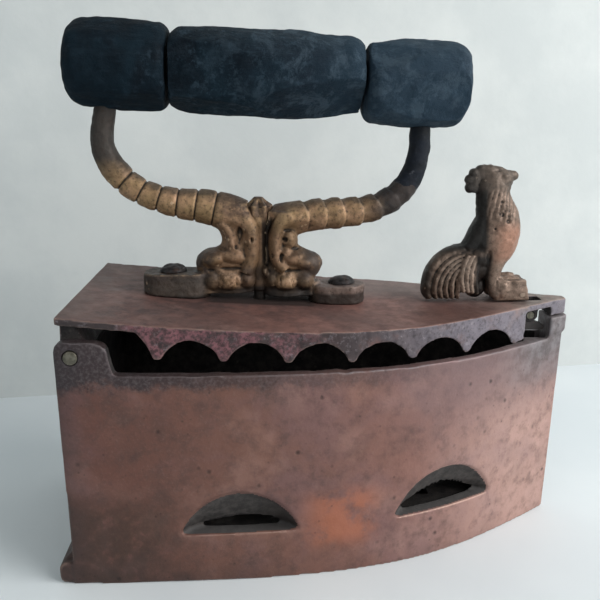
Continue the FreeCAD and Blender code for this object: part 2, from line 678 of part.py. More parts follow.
def make_rooster():
    """Standing rooster on a low perch: breast, neck, head, comb, beak and fanned tail."""
    perch = box(PERCH_BACK, PERCH_FRONT, -PERCH_HALF, PERCH_HALF, PERCH_BOTTOM, PERCH_TOP)
    perch = perch.cut(box(PERCH_FRONT - 2.4, 190, -9, 9, PERCH_TOP - 1.0, 120))
    perch = perch.cut(y_prism(front_relief(), 10))
    tail = y_prism(tail_outline(), 4.6)
    comb = y_prism(comb_outline(), 1.5)
    legs = tube_loft(((171.0, 101.0, 5.4, 5.0), (171.0, 107.0, 4.6, 4.8), (171.4, 112.0, 5.4, 5.8)))
    breast = tube_loft(((169.0, 109.0, 6.0, 6.0), (169.4, 115.0, 8.2, 7.4), (169.6, 122.0, 9.6, 8.2),
                        (169.4, 129.0, 8.8, 7.6), (168.0, 136.0, 7.4, 6.2), (167.2, 142.0, 6.4, 5.4),
                        (167.4, 148.6, 5.4, 4.6)))
    rump = ellipsoid(V(160.0, 0, 113.4), 10.5, 6.8, 8.6, 0.0)
    head = ellipsoid(V(168.2, 0, 147.8), 5.6, 4.8, 4.9, 0.0)
    beak = Part.makeCone(2.9, 0.9, 5.0, V(171.9, 0, 147.4), V(1, 0, 0.16))
    bird = fuse(perch, tail, legs, rump, breast, head, comb, beak)
    bird = bird.cut(box(178.4, 182.2, -TONGUE_HALF, TONGUE_HALF, 90, TONGUE_TOP))
    return bird.cut(y_cylinder(RIVET_X, RIVET_Z, RIVET_R, -10, 10))


# ---------------------------------------------------------------- build every node
def build():
    rear_arm = make_arm(-1, REAR_FOOT, REAR_BOLT_X, REAR_BAR, REAR_EYE_X, REAR_BOTTOM)
    front_arm = make_arm(1, FRONT_FOOT, FRONT_BOLT_X, FRONT_BAR, FRONT_EYE_X, FRONT_BOTTOM)
    rear_block = barrel(GRIP_X0, CREASE_1 - 0.1, 10.5, 17.2, 13.6, 8.0, 4.5)
    rear_block = counterbored(bored(rear_block, rear_arm), GRIP_X0 - 1, GRIP_X0 + RECESS)
    centre = bored(barrel(CREASE_1, CREASE_2, 13.5, 16.9, 12.9, 7.0, 8.5), None)
    front_block = barrel(CREASE_2 + 0.1, GRIP_X1, 12.8, 17.4, 11.5, 6.0, 8.5)
    front_block = counterbored(bored(front_block, front_arm), GRIP_X1 - RECESS, GRIP_X1 + 1)
    return {
        "body_shell": make_body_shell(),
        "hinge_pin": make_hinge_pin(),
        "fire_grate": make_fire_grate(),
        "lid_plate": make_lid_plate(),
        "rear_handle_arm": rear_arm,
        "front_handle_arm": front_arm,
        "centre_finial": make_centre_finial(),
        "finial_nut": make_finial_nut(),
        "foot_bolts": make_foot_bolts(),
        "foot_washers": make_foot_washers(),
        "foot_nuts": make_foot_nuts(),
        "rear_grip_block": rear_block,
        "centre_grip": centre,
        "front_grip_block": front_block,
        "grip_rod": make_grip_rod(),
        "grip_rod_washers": make_grip_washers(),
        "latch_pivot_pin": make_latch_pin(),
        "rooster": make_rooster(),
        "latch_tongue": make_tongue(),
        "tongue_rivet": make_tongue_rivet(),
    }


os.makedirs("parts", exist_ok=True)
for node, shape in build().items():
    shape.exportStep("parts/" + node + ".step")
    print(node, "solids", len(shape.Solids), "valid", shape.isValid(), "cm3", round(shape.Volume / 1000, 2))
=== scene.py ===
import math

import bmesh
import bpy
import numpy as np
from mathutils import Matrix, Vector


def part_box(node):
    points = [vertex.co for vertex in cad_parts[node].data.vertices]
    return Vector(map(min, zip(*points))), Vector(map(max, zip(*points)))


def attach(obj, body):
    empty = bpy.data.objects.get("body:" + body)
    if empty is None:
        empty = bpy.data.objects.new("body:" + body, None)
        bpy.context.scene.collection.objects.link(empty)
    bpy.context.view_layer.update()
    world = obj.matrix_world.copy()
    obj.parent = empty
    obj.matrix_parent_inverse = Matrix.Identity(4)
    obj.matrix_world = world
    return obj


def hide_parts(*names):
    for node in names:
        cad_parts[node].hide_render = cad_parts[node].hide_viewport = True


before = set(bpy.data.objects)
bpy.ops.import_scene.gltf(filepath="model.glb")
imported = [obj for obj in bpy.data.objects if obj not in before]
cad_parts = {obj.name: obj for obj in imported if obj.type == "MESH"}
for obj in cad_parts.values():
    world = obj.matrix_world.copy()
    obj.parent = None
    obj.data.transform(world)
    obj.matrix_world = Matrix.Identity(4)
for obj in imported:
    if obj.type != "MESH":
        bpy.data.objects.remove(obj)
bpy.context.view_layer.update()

# Charcoal box iron with a rooster latch: the looks of the castings, the wood and the fasteners.
#
# Blender's metres. Shapes are worked in millimetres and scaled by MM at the end.
# The CAD meshes give every place and size: castings are copied from them, remeshed and sculpted.

MM = 0.001
SIDES = (-1.0, 1.0)


# ---------------------------------------------------------------- the frame in millimetres
def box_mm(node):
    low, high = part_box(node)
    return np.array(low) / MM, np.array(high) / MM


def points_mm(mesh):
    flat = np.empty(len(mesh.vertices) * 3)
    mesh.vertices.foreach_get("co", flat)
    return flat.reshape(-1, 3) / MM


def normals_of(mesh):
    flat = np.empty(len(mesh.vertices) * 3)
    mesh.vertices.foreach_get("normal", flat)
    return flat.reshape(-1, 3)


def half_width(node, above):
    """Half width of a boat-shaped casting as a function of X: the upper hull of its points in plan."""
    points = points_mm(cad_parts[node].data)
    points = points[points[:, 2] > above]
    order = np.lexsort((-np.abs(points[:, 1]), points[:, 0]))
    hull = []
    for x, y in zip(points[order, 0], np.abs(points[order, 1])):
        while len(hull) > 1 and left_turn(hull[-2], hull[-1], (x, y)) >= 0:
            hull.pop()
        hull.append((x, y))
    xs, ys = zip(*hull)
    return lambda x: np.interp(x, xs, ys)


def left_turn(a, b, c):
    """Above zero where the path a, b, c turns left."""
    return (b[0] - a[0]) * (c[1] - a[1]) - (b[1] - a[1]) * (c[0] - a[0])


SKIRT_TOP = 97.0             # the hinge barrel and the skirts lie below this height
flank_half = half_width("body_shell", 0.0)
lid_half = half_width("lid_plate", SKIRT_TOP)
BODY_HIGH = box_mm("body_shell")[1]
LID_HIGH = box_mm("lid_plate")[1]


# ---------------------------------------------------------------- smooth noise for sculpting
def noise(points, size, seed=0):
    """Smooth noise, -1 to 1, with lumps of that size in millimetres."""
    scaled = points / size + seed * 17.31
    cell = np.floor(scaled).astype(np.int64)
    part = scaled - cell
    part = part * part * (3 - 2 * part)
    total = np.zeros(len(points))
    for dx in (0, 1):
        for dy in (0, 1):
            for dz in (0, 1):
                corner = cell + (dx, dy, dz)
                key = corner[:, 0] * 73856093 ^ corner[:, 1] * 19349663 ^ corner[:, 2] * 83492791
                key = (key * 1274126177) & 0x7FFFFFFF
                key = ((key ^ (key >> 13)) * 1103515245) & 0x7FFFFFFF
                weight = np.abs(1 - np.array((dx, dy, dz)) - part).prod(axis=1)
                total += weight * (key / 0x7FFFFFFF)
    return total * 2 - 1


def smooth_step(value, low, high):
    share = np.clip((value - low) / (high - low), 0, 1)
    return share * share * (3 - 2 * share)


def hump(value, width):
    """1 at zero, falling smoothly to 0 at the width and beyond."""
    return 1 - smooth_step(np.abs(value), 0.0, width)


# ---------------------------------------------------------------- mesh work
def new_piece(name, mesh):
    piece = bpy.data.objects.new(name, mesh)
    bpy.context.scene.collection.objects.link(piece)
    return piece


def mesh_from(name, vertices, faces):
    mesh = bpy.data.meshes.new(name)
    mesh.from_pydata([tuple(np.asarray(v) * MM) for v in vertices], [], faces)
    mesh.update()
    return new_piece(name, mesh)


def copy_of(node, name):
    """A copy of a CAD node's mesh, with its doubled points merged."""
    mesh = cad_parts[node].data.copy()
    mesh.materials.clear()
    work = bmesh.new()
    work.from_mesh(mesh)
    bmesh.ops.remove_doubles(work, verts=work.verts, dist=0.002 * MM)
    work.to_mesh(mesh)
    work.free()
    return new_piece(name, mesh)


def joined(name, pieces):
    """Several closed meshes in one object, which a remesh then fuses."""
    work = bmesh.new()
    for piece in pieces:
        work.from_mesh(piece.data)
    mesh = bpy.data.meshes.new(name)
    work.to_mesh(mesh)
    work.free()
    for piece in pieces:
        bpy.data.objects.remove(piece)
    return new_piece(name, mesh)


def bake(piece):
    """Replace the mesh by what its modifiers make of it."""
    graph = bpy.context.evaluated_depsgraph_get()
    mesh = bpy.data.meshes.new_from_object(piece.evaluated_get(graph), depsgraph=graph)
    piece.modifiers.clear()
    piece.data = mesh
    return piece


def remesh(piece, voxel, smoothing=3):
    """Rebuild the surface from cubes of that size in mm, which fuses overlapping parts, and smooth it."""
    change = piece.modifiers.new("remesh", "REMESH")
    change.mode = "VOXEL"
    change.voxel_size = voxel * MM
    change.use_smooth_shade = True
    even = piece.modifiers.new("smooth", "SMOOTH")
    even.iterations = smoothing
    even.factor = 0.5
    return bake(piece)


def sculpt(piece, depth):
    """Push the surface in (below zero) or out along its normals by depth(points, normals), in mm."""
    mesh = piece.data
    points = points_mm(mesh)
    normals = normals_of(mesh)
    points += normals * depth(points, normals)[:, None]
    mesh.vertices.foreach_set("co", (points * MM).ravel())
    mesh.update()
    return piece


def cut_flat(piece, planes):
    """Shave flats: nothing stays outside the planes, each (point, outward normal)."""
    mesh = piece.data
    points = points_mm(mesh)
    for at, outward in planes:
        outward = np.array(outward) / np.linalg.norm(outward)
        over = np.maximum((points - np.array(at)) @ outward, 0)
        points -= over[:, None] * outward
    mesh.vertices.foreach_set("co", (points * MM).ravel())
    mesh.update()
    return piece


def ring(centre, across, radius_across, radius_y, count):
    angles = np.arange(count) * 2 * math.pi / count
    out = np.outer(np.cos(angles) * radius_across, across)
    out[:, 1] += np.sin(angles) * radius_y
    return centre + out


def swept(name, stations, y=0.0, count=28):
    """A closed round bar. Each station is (x, z, radius in the XZ plane, radius along Y)."""
    stations = np.array(stations, float)
    steps = smooth_path(stations, 6)
    vertices = []
    for i, (x, z, in_plane, along_y) in enumerate(steps):
        before = steps[max(i - 1, 0)]
        after = steps[min(i + 1, len(steps) - 1)]
        across = np.array((after[1] - before[1], 0, before[0] - after[0]))
        across /= np.linalg.norm(across)
        vertices.extend(ring(np.array((x, y, z)), across, in_plane, along_y, count))
    faces = []
    for i in range(len(steps) - 1):
        for j in range(count):
            k = (j + 1) % count
            faces.append((i * count + j, i * count + k, (i + 1) * count + k, (i + 1) * count + j))
    faces.append(tuple(reversed(range(count))))
    last = (len(steps) - 1) * count
    faces.append(tuple(last + j for j in range(count)))
    return mesh_from(name, vertices, faces)


def smooth_path(points, between):
    """Catmull-Rom curve through the rows of points."""
    points = np.array(points, float)
    padded = np.vstack([2 * points[0] - points[1], points, 2 * points[-1] - points[-2]])
    rows = []
    for i in range(1, len(padded) - 2):
        a, b, c, d = padded[i - 1:i + 3]
        for t in np.arange(between) / between:
            rows.append(0.5 * (2 * b + (c - a) * t + (2 * a - 5 * b + 4 * c - d) * t ** 2
                               + (3 * b - a - 3 * c + d) * t ** 3))
    rows.append(points[-1])
    return np.array(rows)


def egg(name, centre, radii, tilt=0.0):
    """A closed egg; tilt turns it about Y, in degrees, nose up."""
    work = bmesh.new()
    bmesh.ops.create_icosphere(work, subdivisions=3, radius=1.0)
    turn = math.radians(tilt)
    for v in work.verts:
        x, y, z = (v.co[i] * radii[i] for i in range(3))
        v.co = Vector((centre[0] + x * math.cos(turn) - z * math.sin(turn), centre[1] + y,
                       centre[2] + x * math.sin(turn) + z * math.cos(turn))) * MM
    mesh = bpy.data.meshes.new(name)
    work.to_mesh(mesh)
    work.free()
    return new_piece(name, mesh)


def block(name, low, high):
    corners = [(x, y, z) for x in (low[0], high[0]) for y in (low[1], high[1]) for z in (low[2], high[2])]
    faces = [(0, 1, 3, 2), (4, 6, 7, 5), (0, 4, 5, 1), (2, 3, 7, 6), (0, 2, 6, 4), (1, 5, 7, 3)]
    return mesh_from(name, corners, faces)


def distance_along(points, guide):
    """For each point, how far along a smooth guide line of (x, z) rows it lies."""
    line = smooth_path(guide, 12)
    runs = np.concatenate([[0], np.cumsum(np.linalg.norm(np.diff(line, axis=0), axis=1))])
    best = np.full(len(points), np.inf)
    along = np.zeros(len(points))
    flat = points[:, (0, 2)]
    for i in range(len(line) - 1):
        step = line[i + 1] - line[i]
        share = np.clip(((flat - line[i]) @ step) / (step @ step), 0, 1)
        gap = np.linalg.norm(flat - line[i] - share[:, None] * step, axis=1)
        closer = gap < best
        best[closer] = gap[closer]
        along[closer] = (runs[i] + share * (runs[i + 1] - runs[i]))[closer]
    return along


def finish_piece(piece, body, slot, nodes, *materials):
    for material in materials:
        piece.data.materials.append(material)
    for polygon in piece.data.polygons:
        polygon.use_smooth = True
    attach(piece, body)
    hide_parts(*nodes)
    return piece


def assign_materials(piece, region):
    """Give each face the material numbered region(centres, normals), centres in mm."""
    mesh = piece.data
    centres = np.empty(len(mesh.polygons) * 3)
    mesh.polygons.foreach_get("center", centres)
    normals = np.empty(len(mesh.polygons) * 3)
    mesh.polygons.foreach_get("normal", normals)
    pick = region(centres.reshape(-1, 3) / MM, normals.reshape(-1, 3))
    mesh.polygons.foreach_set("material_index", pick.astype(np.int32))


# ---------------------------------------------------------------- material building
def srgb(red, green, blue):
    out = []
    for value in (red, green, blue):
        share = value / 255
        out.append(share / 12.92 if share <= 0.04045 else ((share + 0.055) / 1.055) ** 2.4)
    return (*out, 1.0)


class Paint:
    """A material being built, with short names for the nodes that the finishes share."""

    def __init__(self, name):
        self.material = bpy.data.materials.new(name)
        self.material.use_nodes = True
        self.tree = self.material.node_tree
        self.shader = self.tree.nodes["Principled BSDF"]
        coordinates = self.node("ShaderNodeTexCoord")
        self.place = coordinates.outputs["Object"]
        split = self.node("ShaderNodeSeparateXYZ")
        self.link(self.place, split.inputs[0])
        self.x, self.y, self.z = split.outputs
        turned = self.node("ShaderNodeSeparateXYZ")
        self.link(coordinates.outputs["Normal"], turned.inputs[0])
        self.facing = turned.outputs

    def node(self, kind, **settings):
        made = self.tree.nodes.new(kind)
        for key, value in settings.items():
            setattr(made, key, value)
        return made

    def link(self, source, target):
        self.tree.links.new(source, target)

    def feed(self, socket, value):
        if isinstance(value, bpy.types.NodeSocket):
            self.link(value, socket)
        else:
            socket.default_value = value

    def sum(self, operation, a, b=0.0, clamp=False):
        made = self.node("ShaderNodeMath", operation=operation, use_clamp=clamp)
        self.feed(made.inputs[0], a)
        self.feed(made.inputs[1], b)
        return made.outputs[0]

    def step(self, value, low, high, to_low=0.0, to_high=1.0):
        """Smooth ramp of value between low and high. Lengths are in metres."""
        made = self.node("ShaderNodeMapRange", interpolation_type="SMOOTHSTEP")
        self.feed(made.inputs["Value"], value)
        made.inputs["From Min"].default_value = low
        made.inputs["From Max"].default_value = high
        made.inputs["To Min"].default_value = to_low
        made.inputs["To Max"].default_value = to_high
        return made.outputs["Result"]

    def band(self, value, none_a, full_a, none_b, full_b):
        """1 between full_a and full_b, fading to 0 at none_a beyond the one and none_b beyond the other."""
        return self.times(self.step(value, none_a, full_a), self.step(value, none_b, full_b))

    def stretched(self, scale):
        made = self.node("ShaderNodeMapping")
        self.link(self.place, made.inputs["Vector"])
        made.inputs["Scale"].default_value = scale
        return made.outputs["Vector"]

    def noise(self, size, detail=4.0, rough=0.55, shift=0.0, warp=0.0, stretch=None):
        """Cloudy noise, 0 to 1, with lumps of that size in millimetres."""
        made = self.node("ShaderNodeTexNoise", noise_dimensions="4D")
        self.link(self.stretched(stretch) if stretch else self.place, made.inputs["Vector"])
        made.inputs["W"].default_value = shift
        made.inputs["Scale"].default_value = 1 / (size * MM)
        made.inputs["Detail"].default_value = detail
        made.inputs["Roughness"].default_value = rough
        made.inputs["Distortion"].default_value = warp
        return made.outputs["Fac"]

    def ragged(self, value, cloud, depth):
        """Shift a value up and down with a cloud, by that depth from end to end, in metres."""
        return self.sum("ADD", value, self.sum("MULTIPLY", self.sum("SUBTRACT", cloud, 0.5), depth))

    def dots(self, size, reach, shift=0.0):
        """Round spots, 1 at their centres, in cells of that size; reach is the share of the cell."""
        made = self.node("ShaderNodeTexVoronoi", voronoi_dimensions="4D")
        self.link(self.place, made.inputs["Vector"])
        made.inputs["W"].default_value = shift
        made.inputs["Scale"].default_value = 1 / (size * MM)
        return self.step(made.outputs["Distance"], 0.0, reach, 1.0, 0.0)

    def edges(self, low, high):
        """1 on convex edges, 0 on flats and in hollows."""
        made = self.node("ShaderNodeNewGeometry")
        return self.step(made.outputs["Pointiness"], low, high)

    def mix(self, share, a, b):
        """Colour a, going over to b with share. A colour is a socket or three numbers from 0 to 255."""
        made = self.node("ShaderNodeMix", data_type="RGBA")
        self.feed(made.inputs["Factor"], share)
        for socket, tone in ((made.inputs[6], a), (made.inputs[7], b)):
            self.feed(socket, srgb(*tone) if isinstance(tone, tuple) else tone)
        return made.outputs[2]

    def ground(self, share, a, b):
        """The first colour, under every coat."""
        self.colour = self.mix(share, a, b)

    def coat(self, tone, *shares):
        """Lay a colour over what is there, as thickly as the product of the shares."""
        self.colour = self.mix(self.times(*shares), self.colour, tone)

    def times(self, *shares):
        total = shares[0]
        for share in shares[1:]:
            total = self.sum("MULTIPLY", total, share)
        return total

    def less(self, share):
        return self.sum("SUBTRACT", 1.0, share)

    def bump(self, *layers):
        """Each layer is (height, depth in millimetres)."""
        normal = None
        for height, depth in layers:
            made = self.node("ShaderNodeBump")
            made.inputs["Strength"].default_value = 1.0
            made.inputs["Distance"].default_value = depth * MM
            self.link(height, made.inputs["Height"])
            if normal is not None:
                self.link(normal, made.inputs["Normal"])
            normal = made.outputs["Normal"]
        self.link(normal, self.shader.inputs["Normal"])

    def done(self, roughness, metallic=0.0, specular=0.5):
        self.link(self.colour, self.shader.inputs["Base Color"])
        self.feed(self.shader.inputs["Roughness"], roughness)
        self.shader.inputs["Metallic"].default_value = metallic
        self.shader.inputs["Specular IOR Level"].default_value = specular
        return self.material


# ---------------------------------------------------------------- finishes
def body_brass():
    """Oxidised cast brass: dark red-brown at the heel, paler and pinker to the nose, sooted at the rim. The
    paling to the nose is partly painted light, and the edges carry painted highlights.
    """
    p = Paint("cast_brass_body")
    clouds = p.noise(38, 5, 0.6, 1.3, 0.4)
    blotch = p.noise(13, 5, 0.65, 12.2, 0.6)
    grain = p.noise(5, 6, 0.65, 4.1)
    fine = p.noise(1.1, 3, 0.6, 7.7)
    # Paler and pinker towards the nose: partly the casting's own tone, partly painted light where the flank
    # turns to the light.
    along = p.ragged(p.x, clouds, 0.05)
    p.ground(p.step(along, 0.0, 0.075), (104, 69, 60), (118, 83, 72))
    p.coat((135, 97, 88), p.step(along, 0.06, 0.14))
    p.coat((181, 146, 136), p.step(along, 0.12, 0.18))
    p.coat((112, 90, 96), p.step(clouds, 0.42, 0.62), 0.35)
    smudge = p.times(p.step(blotch, 0.44, 0.70), p.step(p.x, 0.17, 0.0, 0.2, 0.55))
    p.coat((66, 56, 54), smudge)
    pale = p.times(p.step(p.noise(17, 5, 0.6, 15.0), 0.46, 0.74), p.step(p.x, 0.0, 0.15, 0.15, 0.4))
    p.coat((176, 138, 126), pale)
    p.coat((78, 62, 60), p.step(grain, 0.45, 0.72), 0.5)
    p.coat((140, 112, 102), p.step(fine, 0.5, 0.8), 0.25)
    low = p.times(p.step(p.x, 0.055, 0.02), p.step(p.z, 0.044, 0.026), p.step(grain, 0.25, 0.5))
    p.coat((58, 48, 41), low, 0.6)
    worn = p.times(p.band(p.x, 0.082, 0.098, 0.122, 0.108), p.band(p.z, 0.040, 0.030, 0.008, 0.018),
                   p.step(p.noise(14, 4, 0.6, 2.2), 0.36, 0.55))
    p.coat((172, 106, 80), worn, 0.75)
    lifted = p.ragged(p.z, p.noise(9, 6, 0.7, 9.0), 0.018)
    rim = p.step(p.sum("ADD", lifted, p.sum("MULTIPLY", p.x, 0.0173)), 0.0775, 0.0825)
    heel = p.step(p.x, 0.16, 0.0, 0.35, 1.0)
    smoked = p.mix(p.step(fine, 0.4, 0.7), (46, 41, 44), (78, 73, 76))
    p.coat(smoked, rim, heel, 0.9)
    upper = p.times(p.step(p.x, 0.105, 0.150), p.step(lifted, 0.040, 0.074))
    p.coat((112, 92, 94), upper, 0.7)
    post = p.times(p.step(p.x, 0.160, 0.190), p.step(lifted, 0.055, 0.080))
    bare = p.mix(p.step(grain, 0.35, 0.65), (124, 121, 124), (92, 87, 88))
    p.coat(bare, post, 0.85)
    corner = p.step(p.sum("ADD", p.x, p.sum("MULTIPLY", grain, 0.008)), 0.014, 0.002)
    p.coat((48, 44, 46), corner, 0.45)
    foot = p.times(p.step(p.z, 0.010, 0.001), p.step(p.noise(20, 4, 0.6, 3.0), 0.35, 0.6))
    p.coat((58, 48, 46), foot, p.step(p.x, 0.12, 0.04, 0.1, 0.5))
    pits = p.times(p.dots(5.5, 0.26, 1.0), p.step(p.noise(16, 2, 0.5, 5.0), 0.44, 0.56))
    specks = p.times(p.dots(2.2, 0.34, 6.0), p.step(p.noise(9, 3, 0.6, 8.0), 0.46, 0.60))
    p.coat((26, 21, 22), pits, 0.9)
    p.coat((40, 31, 30), specks, 0.65)
    # Painted highlight on the convex edges, stronger towards the nose where the light catches them, over
    # rubbed bright edges.
    edge = p.times(p.edges(0.515, 0.56), p.step(grain, 0.35, 0.55), p.step(p.x, 0.04, 0.12, 0.3, 0.8))
    p.coat(p.mix(rim, (190, 160, 146), (122, 116, 118)), edge)
    p.bump((p.sum("SUBTRACT", grain, p.times(pits, 0.9)), 0.35), (fine, 0.10))
    return p.done(p.step(grain, 0.2, 0.8, 0.42, 0.66), 0.35, 0.4)


def soot():
    """Soot and ash on the inner faces."""
    p = Paint("soot")
    crust = p.noise(4, 6, 0.7, 2.0)
    p.ground(p.step(crust, 0.35, 0.7), (34, 32, 33), (70, 65, 64))
    p.coat((96, 90, 86), p.dots(3.2, 0.3, 3.0), 0.5)
    p.bump((crust, 0.4))
    return p.done(p.step(crust, 0.2, 0.8, 0.75, 0.95), 0.0, 0.25)


def ash_grey():
    """Smoked grey of the hoods and sills of the draught holes, with painted shade in the nose-side part of
    the first hood.
    """
    p = Paint("ash_grey")
    crust = p.noise(3, 5, 0.65, 6.0)
    p.ground(p.step(crust, 0.35, 0.7), (52, 49, 48), (80, 75, 73))
    # Painted shade: the nose-side part of the first hood is darkened where the hollow turns away from the
    # light.
    hood_shade = p.step(p.x, 0.066, 0.082, 0.0, 1.0)
    p.coat((40, 33, 30), hood_shade, p.step(p.x, 0.110, 0.100), 0.7)
    p.coat((84, 82, 82), p.step(p.facing[2], 0.3, 0.8), 0.6)
    p.coat((34, 30, 30), p.dots(2.6, 0.3, 3.0), 0.5)
    p.bump((crust, 0.35))
    return p.done(p.step(crust, 0.2, 0.8, 0.65, 0.85), 0.1, 0.3)


def lid_brass():
    """Copper-brown lid, stained in patches, with a dark sooty skirt and worn bright edges, painted shade
    under the figures and a skirt painted paler towards the nose.
    """
    p = Paint("cast_brass_lid")
    clouds = p.noise(30, 5, 0.6, 0.7, 0.5)
    grain = p.noise(6, 6, 0.65, 3.1)
    fine = p.noise(1.2, 3, 0.6, 5.5)
    p.ground(p.step(clouds, 0.35, 0.65), (104, 76, 71), (132, 94, 86))
    p.coat((138, 130, 124), p.step(p.x, 0.15, 0.195))
    p.coat((72, 56, 54), p.step(grain, 0.42, 0.66), 0.55)
    grime = p.times(p.step(p.noise(16, 6, 0.7, 31.0, 0.4), 0.48, 0.62), p.step(p.x, 0.13, 0.03, 0.25, 0.8))
    p.coat((58, 50, 51), grime, 0.7)
    back = p.step(p.y, -0.01, 0.03)
    p.coat((74, 60, 57), back, 0.35)
    heel = p.step(p.ragged(p.x, grain, 0.03), 0.03, 0.0)
    p.coat((112, 100, 96), heel, 0.55)
    stain = p.times(p.dots(22, 0.5, 2.0), p.step(p.noise(10, 4, 0.6, 6.0), 0.45, 0.6))
    p.coat((54, 44, 43), stain, 0.5)
    scuffed = p.times(p.step(p.noise(12, 6, 0.7, 21.0, 0.5), 0.5, 0.68), 0.5)
    p.coat((150, 116, 108), scuffed)
    faded = p.times(p.step(p.y, 0.0, 0.02), p.step(p.x, 0.09, 0.12))
    p.coat((152, 138, 134), faded, 0.45)
    right = p.times(p.band(p.x, 0.125, 0.140, 0.168, 0.155), p.step(p.y, -0.005, -0.020))
    p.coat((72, 48, 42), right, 0.55)
    p.coat((70, 60, 60), p.step(p.x, 0.09, 0.03, 0.0, 0.35))
    # Painted shade on the lid under the figures of the arms, where their shadow falls.
    shade_under_figures = p.times(p.band(p.x, 0.046, 0.054, 0.100, 0.092),
                  p.step(p.sum("ABSOLUTE", p.y), 0.0125, 0.009))
    p.coat((24, 17, 15), shade_under_figures, 0.85)
    upright = p.step(p.facing[2], 0.75, 0.35)
    side = p.times(upright, p.step(p.noise(9, 5, 0.65, 1.0), 0.2, 0.5))
    # The skirts' mottled grey; its paling towards the nose is painted light on the side that faces the light.
    skirt_grey_and_light = p.mix(p.step(p.x, 0.09, 0.17), (56, 49, 50), (118, 113, 122))
    skirt_grey_and_light = p.mix(p.times(p.step(fine, 0.45, 0.7), 0.55), skirt_grey_and_light, (38, 34, 36))
    skirt_grey_and_light = p.mix(p.times(p.step(p.noise(1.8, 4, 0.7, 9.5), 0.52, 0.7), 0.5), skirt_grey_and_light, (150, 142, 148))
    p.coat(skirt_grey_and_light, side, 0.92)
    red_noise = p.step(p.noise(5, 5, 0.7, 11.0), 0.36, 0.56)
    red = p.times(upright, p.band(p.x, 0.020, 0.030, 0.105, 0.070), red_noise)
    rose = p.mix(p.step(fine, 0.38, 0.62), (140, 92, 98), (78, 54, 57))
    p.coat(rose, red, 0.75)
    edge = p.times(p.edges(0.515, 0.57), p.step(grain, 0.35, 0.55))
    p.coat((172, 146, 134), edge, 0.45)
    p.bump((grain, 0.3), (fine, 0.10))
    dull = p.sum("MAXIMUM", p.step(grain, 0.2, 0.8, 0.5, 0.72), shade_under_figures)
    return p.done(dull, 0.3, 0.4)


